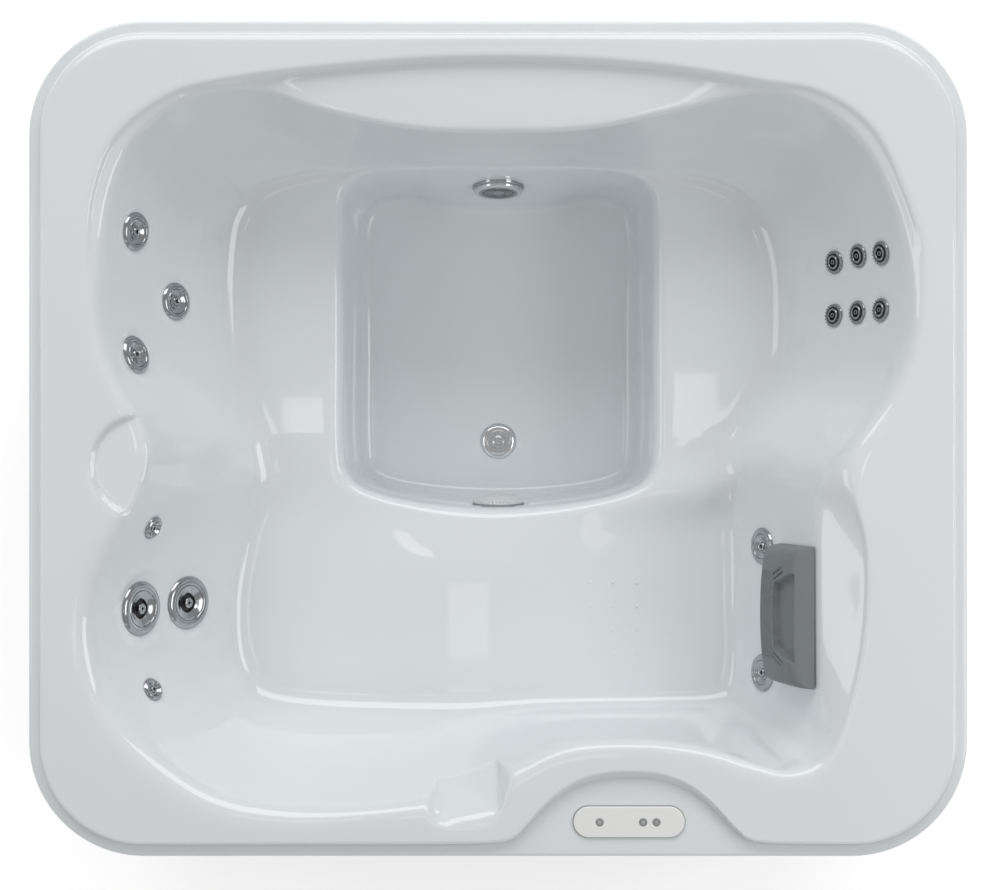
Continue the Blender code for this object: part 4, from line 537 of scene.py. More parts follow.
def round_corners(corners, fillet_steps, run_steps):
    """Rounds the corners of the profile, each over its own length, divides the runs, and stacks the rows."""
    rows = [(corners[0][0], corners[0][1])]
    for (r0, z0, _), (r1, z1, fillet), (r2, z2, _), steps, runs in zip(
        corners, corners[1:], corners[2:], fillet_steps, run_steps
    ):
        back, ahead = np.hypot(r0 - r1, z0 - z1), np.hypot(r2 - r1, z2 - z1)
        a, b = np.minimum(fillet / back, FILLET_REACH), np.minimum(fillet / ahead, FILLET_REACH)
        curve = []
        for i in range(steps + 1):
            t = i / steps if steps else 0.5
            w0, w2 = a * (1 - t) ** 2, b * t**2
            curve.append((r1 + (r0 - r1) * w0 + (r2 - r1) * w2, z1 + (z0 - z1) * w0 + (z2 - z1) * w2))
        rows += divided(rows[-1], curve[0], runs) + curve
    rows += divided(rows[-1], corners[-1], run_steps[-1])
    rows.append((corners[-1][0], corners[-1][1]))
    return np.stack([row[0] for row in rows]), np.stack([row[1] for row in rows])


def divided(start, end, runs):
    """The places between two rows that split their run into equal parts."""
    shares = [i / runs for i in range(1, runs)]
    return [(start[0] + (end[0] - start[0]) * t, start[1] + (end[1] - start[1]) * t) for t in shares]


def shell_height(x, y):
    """The shell's height at one place in plan."""
    angle = math.atan2(y - POLE_Y, x)
    radii, heights = shell_profile([angle], FINE_FILLETS)
    return float(np.interp(math.hypot(x, y - POLE_Y), radii[:, 0], heights[:, 0]))


def surface_normal(x, y):
    """The shell's outward direction, into the water, at a place in plan."""
    step = SHELL_WALL / 2
    slope_x = (shell_height(x + step, y) - shell_height(x - step, y)) / (2 * step)
    slope_y = (shell_height(x, y + step) - shell_height(x, y - step)) / (2 * step)
    return Vector((-slope_x, -slope_y, 1)).normalized()


def facing(location, direction):
    """The placing matrix with its own +Z along the direction."""
    return Matrix.Translation(location) @ Vector(direction).to_track_quat("Z", "Y").to_matrix().to_4x4()


def wall_place(height, side):
    """The placing on the footwell's front or rear wall, over the middle line, at a height."""
    low, high = 0.0, FOOTWELL_TOP_HALF_WIDTH + SHELL_WALL
    for _ in range(HALVINGS):
        middle = (low + high) / 2
        if shell_height(0.0, FOOTWELL_Y + side * middle) < height:
            low = middle
        else:
            high = middle
    y = FOOTWELL_Y + side * low
    inward = surface_normal(0.0, y)
    return facing(Vector((0.0, y, height)) - inward * JET_SINK, inward)


def jet_placings():
    """Each jet's name, kind, radius and placing on the shell."""
    placings = []
    for name, (kind, x_share, y_share) in JET_PLACES_SHARES.items():
        x, y = x_share * HALF_LENGTH, y_share * HALF_WIDTH
        inward = surface_normal(x, y)
        location = Vector((x, y, shell_height(x, y))) - inward * JET_SINK
        placings.append((name, kind, JET_RADII[kind], facing(location, inward)))
    return placings


JETS = jet_placings()
SUCTION_PLACING = wall_place(SUCTION_HEIGHT, 1)
LIGHT_PLACING = wall_place(LIGHT_HEIGHT, -1)
FLOOR_PLACING = Matrix.Translation((0, FLOOR_FITTING_Y, FOOTWELL_FLOOR_HEIGHT - JET_SINK))


# Materials

def node(tree, kind, **values):
    """A new node; a value in small letters is the node's own, any other belongs to an input."""
    made = tree.nodes.new(kind)
    for key, value in values.items():
        if key[0].islower():
            setattr(made, key, value)
        else:
            made.inputs[key.replace("_", " ")].default_value = value
    return made


def wire(*links):
    """Links nodes, each link given as a node, its output, the next node and its input."""
    for source, output, target, socket in links:
        source.id_data.links.new(source.outputs[output], target.inputs[socket])


def finish(name, colour, roughness, metallic=0.0, grain=400.0, grain_depth=0.0, blotch=0.03, blotch_scale=6.0,
           rough_spread=0.04, stretch=(1, 1, 1), **sockets):
    """A procedural finish: colour that drifts, roughness that varies, and a fine grain in the surface."""
    mat = bpy.data.materials.get(name)
    if mat:
        return mat
    mat = bpy.data.materials.new(name)
    mat.use_nodes = True
    tree = mat.node_tree
    shader = tree.nodes["Principled BSDF"]
    for socket, value in {"Metallic": metallic, **sockets}.items():
        shader.inputs[socket.replace("_", " ")].default_value = value
    coords = node(tree, "ShaderNodeTexCoord")
    mapping = node(tree, "ShaderNodeMapping", Scale=stretch)
    drift = node(tree, "ShaderNodeTexNoise", Scale=blotch_scale, Detail=4)
    dark, pale = ([min(1, c * share) for c in colour] for share in (1 - blotch, 1 + blotch))
    tones = node(tree, "ShaderNodeMix", data_type="RGBA", A=(*dark, 1), B=(*pale, 1))
    fine = node(tree, "ShaderNodeTexNoise", Scale=grain, Detail=3)
    spread = node(tree, "ShaderNodeMapRange", To_Min=roughness - rough_spread,
                  To_Max=roughness + rough_spread)
    wire((coords, "Object", mapping, "Vector"), (mapping, "Vector", drift, "Vector"),
         (drift, "Fac", tones, "Factor"), (tones, "Result", shader, "Base Color"),
         (mapping, "Vector", fine, "Vector"), (fine, "Fac", spread, "Value"),
         (spread, "Result", shader, "Roughness"))
    if grain_depth:
        bump = node(tree, "ShaderNodeBump", Distance=grain_depth, Strength=1.0)
        wire((fine, "Fac", bump, "Height"), (bump, "Normal", shader, "Normal"))
    return mat


def acrylic():
    return finish("gloss_acrylic", tuple(settings().acrylic), 0.06, grain=18.0, grain_depth=0.00003,
                  blotch=0.015, blotch_scale=3.0, rough_spread=0.015, Coat_Weight=0.5, Coat_Roughness=0.02,
                  Specular_IOR_Level=0.55)


def chrome():
    return finish("polished_chrome", tuple(settings().chrome), 0.13, metallic=1.0, grain=220.0, blotch=0.06,
                  blotch_scale=60.0, rough_spread=0.05)


def bright_chrome():
    return finish("bright_chrome", (0.74, 0.76, 0.77), 0.11, metallic=1.0, grain=240.0, blotch=0.05,
                  blotch_scale=70.0, rough_spread=0.04)


def dark_chrome():
    return finish("dark_chrome", (0.36, 0.38, 0.39), 0.2, metallic=0.9, grain=260.0, blotch=0.1,
                  blotch_scale=90.0, rough_spread=0.06)


# Near-black: painted shade in the jets' hollows, outlets and grooves and in the motor's vents, and also the
# real black seal of the control box.
def seal_and_shade_black():
    return finish("seal_and_shade_black", (0.022, 0.024, 0.026), 0.38, grain=500.0, grain_depth=0.00004)


def dark_plastic():
    return finish("moulded_black", (0.055, 0.06, 0.065), 0.42, grain=600.0, grain_depth=0.0001)


def grey_plastic():
    return finish("moulded_grey", (0.33, 0.345, 0.36), 0.45, grain=500.0, grain_depth=0.00006)


def button_rubber():
    return finish("button_rubber", (0.3, 0.31, 0.32), 0.55, grain=900.0, grain_depth=0.00003, blotch=0.05)


def button_mark():
    return finish("button_mark", (0.62, 0.63, 0.63), 0.45, grain=900.0, blotch=0.02)


# Grey of the ring round the foot of the control panel's cover: painted shade of the gap under the cover.
def shadow_gap_grey():
    return finish("shadow_gap_grey", (0.25, 0.26, 0.26), 0.6, grain=700.0, grain_depth=0.00003, blotch=0.06)


def panel_white():
    return finish("panel_white", (0.9, 0.905, 0.89), 0.34, grain=700.0, grain_depth=0.00002, blotch=0.01)


def cabinet_board():
    return finish("cabinet_board", tuple(settings().cabinet), 0.6, grain=55.0, grain_depth=0.0006,
                  blotch=0.16, blotch_scale=9.0, rough_spread=0.08, stretch=(1, 1, 8))


def cabinet_corner():
    return finish("cabinet_corner", tuple(settings().cabinet), 0.58, grain=500.0, grain_depth=0.0003,
                  blotch=0.06)


def foam():
    return finish("moulded_foam", tuple(settings().foam), 0.72, grain=900.0, grain_depth=0.00025, blotch=0.05,
                  blotch_scale=25.0, Sheen_Weight=0.15, Sheen_Roughness=0.5)


def clear_lens():
    return finish("clear_lens", (0.88, 0.9, 0.91), 0.12, grain=300.0, blotch=0.02, Transmission_Weight=0.22,
                  IOR=1.49)


def steel():
    return finish("galvanised_steel", (0.46, 0.47, 0.48), 0.36, metallic=1.0, grain=90.0, grain_depth=0.00006,
                  blotch=0.22, blotch_scale=40.0, rough_spread=0.1)


def motor_paint():
    return finish("motor_paint", (0.1, 0.12, 0.14), 0.4, grain=500.0, grain_depth=0.0001, blotch=0.08)


def filter_paper():
    return finish("pleated_paper", (0.8, 0.81, 0.79), 0.85, grain=350.0, grain_depth=0.0003, blotch=0.05)


def pan_black():
    return finish("pan_black", (0.045, 0.047, 0.05), 0.62, grain=300.0, grain_depth=0.0004, blotch=0.12)


def pvc():
    return finish("pvc_pipe", (0.62, 0.63, 0.62), 0.42, grain=300.0, grain_depth=0.00005, blotch=0.04)


def floor_finish():
    return finish("studio_floor", (0.9, 0.9, 0.9), 0.6, grain=40.0, blotch=0.004, blotch_scale=2.0,
                  Emission_Color=(1, 1, 1, 1), Emission_Strength=0.5)


# Mesh helpers

def put(name, mesh, *materials):
    """A new object at the origin with its mesh and materials."""
    obj = bpy.data.objects.new(name, mesh)
    bpy.context.scene.collection.objects.link(obj)
    for mat in materials:
        mesh.materials.append(mat)
    return obj


def grid_mesh(name, points, faces):
    """A mesh from points and faces."""
    mesh = bpy.data.meshes.new(name)
    mesh.from_pydata(points, [], faces)
    mesh.validate()
    return mesh


def tidy_mesh(mesh, outward=True, merge=1e-6):
    """Merges doubles and turns the normals outward."""
    work = bmesh.new()
    work.from_mesh(mesh)
    bmesh.ops.remove_doubles(work, verts=work.verts, dist=merge)
    if outward:
        bmesh.ops.recalc_face_normals(work, faces=work.faces)
    work.to_mesh(mesh)
    work.free()
    return mesh


def soft(obj, angle=35):
    """Shades a piece smooth, with its corners sharp."""
    obj.data.shade_smooth()
    obj.data.set_sharp_from_angle(angle=math.radians(angle))
    return obj


def plain(radius, high, low):
    """The profile of a plain round body."""
    return [(0, high), (radius, high), (radius, low), (0, low)]


def shares_of(radius, *places):
    """Profile points whose distances are given as shares of a radius."""
    return [(radius * share, *rest) for share, *rest in places]


def near(radius, height, *steps):
    """Profile points given by their steps out and up from a corner."""
    return [(radius + out, height + up) for out, up in steps]


def lathe(name, profile, placing, mat, steps=64, lobes=0, angle=35):
    """A turned piece, its profile from the top down; a third value swells a point at each lobe."""
    rings, points = [], []
    for point in profile:
        r, z = point[0], point[1]
        swell = point[2] if len(point) > 2 else 0.0
        if r == 0:
            rings.append([len(points)] * steps)
            points.append((0, 0, z))
            continue
        rings.append(list(range(len(points), len(points) + steps)))
        for i in range(steps):
            turn = 2 * math.pi * i / steps
            wide = r + swell * max(0.0, math.cos(lobes * turn)) ** 0.7 if swell else r
            points.append((wide * math.cos(turn), wide * math.sin(turn), z))
    if profile[0][0] > 0:
        rings.append(rings[0])
    faces = []
    for upper, lower in zip(rings, rings[1:]):
        for i in range(steps):
            j = (i + 1) % steps
            face = []
            for index in (upper[i], lower[i], lower[j], upper[j]):
                if index not in face:
                    face.append(index)
            if len(face) > 2:
                faces.append(face)
    mesh = grid_mesh(name, [placing @ Vector(p) for p in points], faces)
    tidy_mesh(mesh)
    return soft(put(name, mesh, mat), angle)


def joined(name, parts):
    """One object from several, each face keeping its material."""
    work = bmesh.new()
    materials = []
    for part in parts:
        start = len(work.faces)
        work.from_mesh(part.data)
        work.faces.ensure_lookup_table()
        slots = []
        for mat in part.data.materials:
            if mat not in materials:
                materials.append(mat)
            slots.append(materials.index(mat))
        for face in work.faces[start:]:
            face.material_index = slots[min(face.material_index, len(slots) - 1)]
    mesh = bpy.data.meshes.new(name)
    work.to_mesh(mesh)
    work.free()
    for part in parts:
        bpy.data.objects.remove(part)
    return put(name, mesh, *materials)


def cut_out(obj, plugs):
    """The piece with the plugs cut out of it; the plugs are removed."""
    cut = obj.modifiers.new("cut", "BOOLEAN")
    cut.operation = "DIFFERENCE"
    cut.solver = "EXACT"
    cut.object = plugs
    bpy.context.view_layer.update()
    seen = obj.evaluated_get(bpy.context.evaluated_depsgraph_get())
    mesh = bpy.data.meshes.new_from_object(seen)
    obj.modifiers.clear()
    obj.data = mesh
    bpy.data.objects.remove(plugs)
    return obj


def settle(obj, body, slot, *nodes):
    """Gives a finished piece its body and hides the CAD nodes that it stands for; the slot argument is not
    used.
    """
    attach(obj, body)
    if nodes:
        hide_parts(*nodes)
    return obj


def rib(size, rings=6):
    """A rounded rib of that size, centred, for Geometry Nodes to repeat."""
    turns = [math.pi * i / rings for i in range(1, rings)]
    profile = [(0, 0.5), *[(0.5 * math.sin(a), 0.5 * math.cos(a)) for a in turns], (0, -0.5)]
    piece = lathe("rib", profile, Matrix(), seal_and_shade_black(), steps=10)
    piece.data.transform(Matrix.Diagonal((*size, 1)))
    return piece


def bar(name, low, high, mat, edge=0.002, segments=2):
    """A block between two corners, with its edges rounded."""
    low, high = Vector(low), Vector(high)
    work = bmesh.new()
    bmesh.ops.create_cube(work, size=1)
    bmesh.ops.scale(work, vec=high - low, verts=work.verts)
    bmesh.ops.translate(work, vec=(low + high) / 2, verts=work.verts)
    bmesh.ops.bevel(work, geom=work.edges[:], offset=edge, segments=segments, profile=0.5, affect="EDGES")
    mesh = bpy.data.meshes.new(name)
    work.to_mesh(mesh)
    work.free()
    return soft(put(name, mesh, mat), 30)


def band_faces(first, rings, count, inward=False):
    """Faces between rings of as many points each, the points numbered on from the first."""
    faces = []
    for row in range(first, first + (rings - 1) * count, count):
        for i in range(count):
            a, b = row + i, row + (i + 1) % count
            faces.append((a, a + count, b + count, b) if inward else (a, b, b + count, a + count))
    return faces


def stacked(name, outlines, mat, angle=35):
    """A closed body through outlines with as many points each, from the lowest up."""
    count = len(outlines[0])
    points = [point for outline in outlines for point in outline]
    faces = [tuple(reversed(range(count))), *band_faces(0, len(outlines), count),
             tuple(range(len(points) - count, len(points)))]
    return soft(put(name, tidy_mesh(grid_mesh(name, points, faces)), mat), angle)


def screw_head(radius, height):
    """A domed cross-recess screw head, flat side down, for Geometry Nodes to repeat."""
    profile = shares_of(radius, (0, height * 0.5), (0.22, height * 0.5), (0.3, height), (0.66, height * 0.88),
                        (0.92, height * 0.5), (1, 0), (0, 0))
    return lathe("screw", profile, Matrix(), steel(), steps=16, angle=50)


def bolt_head(radius, height):
    """A six-sided bolt head on its washer, for Geometry Nodes to repeat."""
    washer = height * 0.25
    profile = shares_of(radius, (0, height), (0.62, height), (0.72, height * 0.9), (0.72, washer),
                        (1, washer), (1, 0), (0, 0))
    return lathe("bolt", profile, Matrix(), steel(), steps=6, angle=20)


# Geometry Nodes trees

def shared_tree(build, **inputs):
    """The tree that a function builds, made once; it ends in Realize Instances and Set Material."""
    name = build.__name__
    tree = bpy.data.node_groups.get(name)
    if tree:
        return tree
    tree = bpy.data.node_groups.new(name, "GeometryNodeTree")
    for label, kind in {**inputs, "Material": "Material"}.items():
        tree.interface.new_socket(label, in_out="INPUT", socket_type="NodeSocket" + kind)
    tree.interface.new_socket("Geometry", in_out="OUTPUT", socket_type="NodeSocketGeometry")
    given, out = node(tree, "NodeGroupInput"), node(tree, "NodeGroupOutput")
    last, output = build(tree, given)
    real, paint = node(tree, "GeometryNodeRealizeInstances"), node(tree, "GeometryNodeSetMaterial")
    wire((last, output, real, "Geometry"), (real, "Geometry", paint, "Geometry"),
         (given, "Material", paint, "Material"), (paint, "Geometry", out, "Geometry"))
    return tree


def object_read(tree, given, label):
    """The geometry of an object that a tree is given."""
    info = node(tree, "GeometryNodeObjectInfo")
    wire((given, label, info, "Object"))
    return info


def copies_on(tree, given, points, output):
    """A copy of the given piece at each point."""
    piece, copies = object_read(tree, given, "Piece"), node(tree, "GeometryNodeInstanceOnPoints")
    wire((points, output, copies, "Points"), (piece, "Geometry", copies, "Instance"))
    return copies, "Instances"


def ring_of_copies(tree, given):
    """Copies of a piece that stand in a ring round Z, each with its own +X turned outward."""
    circle = node(tree, "GeometryNodeMeshCircle")
    lift = node(tree, "GeometryNodeSetPosition")
    rise = node(tree, "ShaderNodeCombineXYZ")
    spot = node(tree, "GeometryNodeInputPosition")
    flat = node(tree, "ShaderNodeVectorMath", operation="MULTIPLY")
    flat.inputs[1].default_value = (1, 1, 0)
    turn = node(tree, "FunctionNodeAlignRotationToVector", axis="X", pivot_axis="Z")
    copies, output = copies_on(tree, given, lift, "Geometry")
    wire((given, "Count", circle, "Vertices"), (given, "Radius", circle, "Radius"),
         (given, "Height", rise, "Z"), (circle, "Mesh", lift, "Geometry"), (rise, "Vector", lift, "Offset"),
         (spot, "Position", flat, 0), (flat, "Vector", turn, "Vector"),
         (turn, "Rotation", copies, "Rotation"))
    return copies, output


def row_of_copies(tree, given):
    """Copies of a piece in an even row."""
    line = node(tree, "GeometryNodeMeshLine")
    wire((given, "Count", line, "Count"), (given, "Start", line, "Start Location"),
         (given, "Step", line, "Offset"))
    return copies_on(tree, given, line, "Mesh")


def copies_at_points(tree, given):
    """A copy of a piece at each point of another object."""
    return copies_on(tree, given, object_read(tree, given, "Places"), "Geometry")


def pipe_on_route(tree, given):
    """A round pipe along a route, its bends rounded and its ends closed."""
    route, curve = object_read(tree, given, "Route"), node(tree, "GeometryNodeMeshToCurve")
    bent = node(tree, "GeometryNodeFilletCurve", mode="POLY", Count=8, Limit_Radius=True)
    circle = node(tree, "GeometryNodeCurvePrimitiveCircle", Resolution=28)
    swept = node(tree, "GeometryNodeCurveToMesh", Fill_Caps=True)
    wire((route, "Geometry", curve, "Mesh"), (curve, "Curve", bent, "Curve"), (given, "Bend", bent, "Radius"),
         (given, "Radius", circle, "Radius"), (bent, "Curve", swept, "Curve"),
         (circle, "Curve", swept, "Profile Curve"))
    return swept, "Mesh"


def grown(name, tree, placing, mat, *used, **values):
    """The tree's result as a plain mesh object in its place; the pieces it used are removed."""
    source = put(name + "_source", bpy.data.meshes.new(name + "_source"))
    modifier = source.modifiers.new("growth", "NODES")
    modifier.node_group = tree
    sockets = {item.name: item.identifier for item in tree.interface.items_tree if item.in_out == "INPUT"}
    for label, value in {**values, "Material": mat}.items():
        modifier[sockets[label]] = value
    bpy.context.view_layer.update()
    seen = source.evaluated_get(bpy.context.evaluated_depsgraph_get())
    mesh = bpy.data.meshes.new_from_object(seen)
    for obj in (source, *used):
        bpy.data.objects.remove(obj)
    mesh.transform(placing)
    mesh.materials.clear()
    tidy_mesh(mesh)
    return soft(put(name, mesh, mat))


def ring_of(name, piece, placing, mat, count, radius, height=0.0):
    """Copies of the piece in a ring, as one mesh."""
    tree = shared_tree(ring_of_copies, Piece="Object", Count="Int", Radius="Float", Height="Float")
    return grown(name, tree, placing, mat, piece, Piece=piece, Count=count, Radius=radius, Height=height)


def row_of(name, piece, mat, count, start, step):
    """Copies of the piece in a row, as one mesh."""
    tree = shared_tree(row_of_copies, Piece="Object", Count="Int", Start="Vector", Step="Vector")
    return grown(name, tree, Matrix(), mat, piece, Piece=piece, Count=count, Start=start, Step=step)


def copies_at(name, piece, places, mat, placing=Matrix()):
    """Copies of the piece at a list of places, as one mesh."""
    marks = put(name + "_places", grid_mesh(name + "_places", places, []))
    tree = shared_tree(copies_at_points, Piece="Object", Places="Object")
    return grown(name, tree, placing, mat, piece, marks, Piece=piece, Places=marks)


def pipe(name, route, radius, bend, mat):
    """A round pipe through its route's points."""
    mesh = bpy.data.meshes.new(name + "_route")
    mesh.from_pydata([tuple(p) for p in route], [(i, i + 1) for i in range(len(route) - 1)], [])
    line = put(name + "_route", mesh)
    tree = shared_tree(pipe_on_route, Route="Object", Radius="Float", Bend="Float")
    return grown(name, tree, Matrix(), mat, line, Route=line, Radius=radius, Bend=bend)


# Settings of the add-on

class HotTubSettings(bpy.types.PropertyGroup):
    """Sizes and colours that a user would change."""

    spokes: IntProperty(name="Shell spokes", description="Directions in which the shell is drawn",
                        default=560, min=96)
    dish_share: FloatProperty(name="Jet dish", description="Width of the dish round a jet, by its radius",
                              default=1.36, min=1.05, max=2.0, subtype="FACTOR")
    acrylic: FloatVectorProperty(name="Acrylic", description="Colour of the shell",
                                 default=(0.835, 0.868, 0.888), size=3, subtype="COLOR", min=0, max=1)
    chrome: FloatVectorProperty(name="Chrome", description="Colour of the bright jets",
                                default=(0.45, 0.47, 0.48), size=3, subtype="COLOR", min=0, max=1)
    cabinet: FloatVectorProperty(name="Cabinet", description="Colour of the cabinet",
                                 default=(0.085, 0.085, 0.083), size=3, subtype="COLOR", min=0, max=1)
    foam: FloatVectorProperty(name="Pillow", description="Colour of the pillow's foam",
                              default=(0.205, 0.222, 0.23), size=3, subtype="COLOR", min=0, max=1)
    camera_height: FloatProperty(name="Camera height", description="Camera over the rim", default=3.4,
                                 unit="LENGTH")
    lens: FloatProperty(name="Lens", description="Focal length, millimetres", default=60.7)


def settings():
    """The scene's settings of the hot tub."""
    return bpy.context.scene.hot_tub


# Shell

def spoke_marks():
    """Places in plan where the spokes stand closer together, each with its width and its weight."""
    marks = [(*placing.translation.xy, radius * 1.5, 1.2) for _, _, radius, placing in JETS]
    corner_x, corner_y = HALF_LENGTH - CORNER_MARK_INSET, HALF_WIDTH - CORNER_MARK_INSET
    marks += [(x, y, 0.14, 0.9) for x in (-corner_x, corner_x) for y in (-corner_y, corner_y)]
    front_x, front_y = FRONT_FACET_SHARES[0] * HALF_LENGTH, FRONT_FACET_SHARES[1] * HALF_WIDTH
    marks += [(front_x + s * FRONT_FACET[0], front_y, 0.05, 1.5) for s in (-1, 1)]
    left_x, left_y = LEFT_FACET_SHARES[0] * HALF_LENGTH, LEFT_FACET_SHARES[1] * HALF_WIDTH
    marks += [(left_x, left_y + s * LEFT_FACET[1], 0.05, 2.2) for s in (-0.8, 0, 0.8)]
    marks += [(NOTCH_X + s * NOTCH_HALF_WIDTH, -0.8, 0.1, 0.8) for s in (-0.8, 0.8)]
    return [(Vector((x, y, 0)), width, weight) for x, y, width, weight in marks]


def spoke_angles(count):
    """Directions of the shell's spokes, closer together towards the marks."""
    fine = np.linspace(-math.pi, math.pi, FINE_DIRECTIONS + 1)[:-1]
    density = np.ones_like(fine)
    for place, width, weight in spoke_marks():
        away, turn = math.hypot(place.x, place.y - POLE_Y), math.atan2(place.y - POLE_Y, place.x)
        gap = np.angle(np.exp(1j * (fine - turn)))
        density += weight * np.exp(-((gap * away / width) ** 2))
    total = np.cumsum(density)
    return np.interp((np.arange(count) + 0.5) / count * total[-1], total, fine)


def seat_fittings(points):
    """Flattens the shell under each fitting, with a soft dish round it."""
    seats = [(radius, settings().dish_share, placing) for _, _, radius, placing in JETS]
    seats += [(SUCTION_RADIUS, SUCTION_DISH_SHARE, SUCTION_PLACING),
              (LIGHT_RADIUS, LIGHT_DISH_SHARE, LIGHT_PLACING),
              (FLOOR_FITTING_RADIUS, FLOOR_DISH_SHARE, FLOOR_PLACING)]
    for radius, dish, placing in seats:
        back = np.array(placing.inverted())
        local = points @ back[:3, :3].T + back[:3, 3]
        away = np.hypot(local[:, 0], local[:, 1])
        inside = (away < radius * dish) & (np.abs(local[:, 2]) < radius)
        hold = smooth_step(radius * dish, radius * DISH_HOLD_SHARE, away[inside])
        normal = np.array(placing.to_3x3() @ Vector((0, 0, 1)))
        points[inside] -= (local[inside, 2] * hold)[:, None] * normal
    return points


def shell_points(count):
    """The shell's upper surface, ring by ring, and the same rows' directions off it."""
    angles = spoke_angles(count)
    radii, heights = shell_profile(angles, FILLET_STEPS, RUN_STEPS)
    radii, heights = radii[1:], heights[1:]
    x, y = radii * np.cos(angles), POLE_Y + radii * np.sin(angles)
    points = np.stack([x, y, heights], -1)
    shape = points.shape
    points = seat_fittings(points.reshape(-1, 3)).reshape(shape)
    around = np.roll(points, -1, 1) - np.roll(points, 1, 1)
    out = np.gradient(points, axis=0)
    normals = np.cross(out, around)
    return points, normals / np.linalg.norm(normals, axis=-1, keepdims=True)


def shell_mesh():
    """The whole shell: fine upper surface, coarser underside, closed round the skirt's edge."""
    count = settings().spokes
    top, normals = shell_points(count)
    rings = len(top)
    low_rings = list(range(2, rings - 1, UNDERSIDE_ROWS))
    under = (top - normals * SHELL_WALL)[low_rings][:, ::UNDERSIDE_SPOKES]
    low_count = under.shape[1]
    pole = Vector((0, POLE_Y, FOOTWELL_FLOOR_HEIGHT))
    points = [tuple(pole)] + [tuple(p) for p in top.reshape(-1, 3)]
    start = len(points)
    points += [(0, POLE_Y, FOOTWELL_FLOOR_HEIGHT - SHELL_WALL)] + [tuple(p) for p in under.reshape(-1, 3)]
    faces = [(0, 1 + j, 1 + (j + 1) % count) for j in range(count)] + band_faces(1, rings, count, inward=True)
    faces += [(start, start + 1 + (j + 1) % low_count, start + 1 + j) for j in range(low_count)]
    faces += band_faces(start + 1, len(low_rings), low_count)
    last_top, last_low = 1 + (rings - 1) * count, start + 1 + (len(low_rings) - 1) * low_count
    for j in range(low_count):
        a, b = last_low + j, last_low + (j + 1) % low_count
        edge = [last_top + (j * UNDERSIDE_SPOKES + k) % count for k in range(UNDERSIDE_SPOKES + 1)]
        faces += [(a, edge[k + 1], edge[k]) for k in range(UNDERSIDE_SPOKES)]
        faces.append((a, b, edge[-1]))
    return grid_mesh("shell", points, faces)


def hole_cutters():
    """One object with a plug for each hole through the shell."""
    holes = [(name, radius * JET_HOLE_SHARE, placing) for name, _, radius, placing in JETS]
    holes += [("suction", SUCTION_RADIUS * JET_HOLE_SHARE, SUCTION_PLACING),
              ("light", LIGHT_RADIUS * JET_HOLE_SHARE, LIGHT_PLACING),
              ("floor", FLOOR_FITTING_RADIUS * FLOOR_HOLE_SHARE, FLOOR_PLACING)]
    plugs = [lathe(name + "_plug", plain(radius, PLUG_RISE, -PLUG_DEPTH), placing, acrylic(), steps=24)
             for name, radius, placing in holes]
    return joined("hole_plugs", plugs)


class HOTTUB_OT_shell(bpy.types.Operator):
    """Form the acrylic shell with its seats, steps, dishes and fitting holes"""

    bl_idname = "hottub.shell"
    bl_label = "Shell"

    def execute(self, context):
        obj = cut_out(put("tub_shell", shell_mesh(), acrylic()), hole_cutters())
        obj.data.shade_smooth()
        settle(obj, ROOT, "acrylic", "shell")
        return {"FINISHED"}


# Jets

def sleeve(radius):
    """The last profile points of a jet: under its flange, down its sleeve in the shell's hole, and in."""
    hole = radius * JET_HOLE_SHARE - FIT_GAP
    return [(hole, FIT_GAP), (hole, -JET_BODY_DEPTH)]


def jet_outlet_shade_disc(name, radius, height, placing):
    """A dark disc in a jet's eye: painted shade standing in for the shadowed opening of its outlet."""
    return lathe(name + "_outlet", plain(radius, height, height - 0.0003), placing, seal_and_shade_black(), steps=24)


def jet_body(name, radius, placing):
    """The body that a turning face sits in: bright flange, socket and hose barb."""
    bore, tail = radius * 0.66, -JET_BODY_DEPTH - JET_BARB_LENGTH
    profile = [(0, -0.0303), (bore, -0.0303), (bore, 0.0046), (bore + 0.0005, 0.006)]
    profile += shares_of(radius, (0.72, 0.0072), (0.79, 0.0075), (0.86, 0.0069), (0.93, 0.0052),
                         (0.98, 0.0028), (1, 0.0008), (1, FIT_GAP))
    profile += sleeve(radius) + [(JET_BARB_RADIUS, -JET_BODY_DEPTH), (JET_BARB_RADIUS, tail), (0, tail)]
    return lathe(name, profile, placing, chrome(), angle=50)


def large_face(name, radius, placing):
    """A large jet's face: a bright bowl down to a dark socket, faintly four-lobed; the socket's black lining
    is painted shade.
    """
    rim, well, swell = radius * 0.654, radius * 0.35, radius * 0.015
    dome = [(well, -0.0016, swell), (well + 0.0008, -0.0002, swell)]
    dome += shares_of(radius, (0.43, 0.001), (0.47, 0.0022), (0.52, 0.0036), (0.58, 0.005))
    dome += [(rim - 0.0012, 0.006), (rim, 0.0054), (rim, -JET_FACE_DEPTH), (0, -JET_FACE_DEPTH), (0, -0.006),
             (well, -0.006, swell)]
    ring = lathe(name + "_dome", dome, placing, chrome(), steps=96, lobes=4, angle=40)
    # Black lining of the socket: painted shade of the jet's openings.
    shade_lining = [(0, -0.0058), (well - 0.0002, -0.0058, swell), (well - 0.0002, -0.0018, swell),
              (well - 0.0014, -0.0018, swell), (well - 0.0014, -0.0048, swell), (0, -0.0048)]
    dark = lathe(name + "_lining", shade_lining, placing, seal_and_shade_black(), steps=96, lobes=4, angle=40)
    return joined(name, [ring, dark])


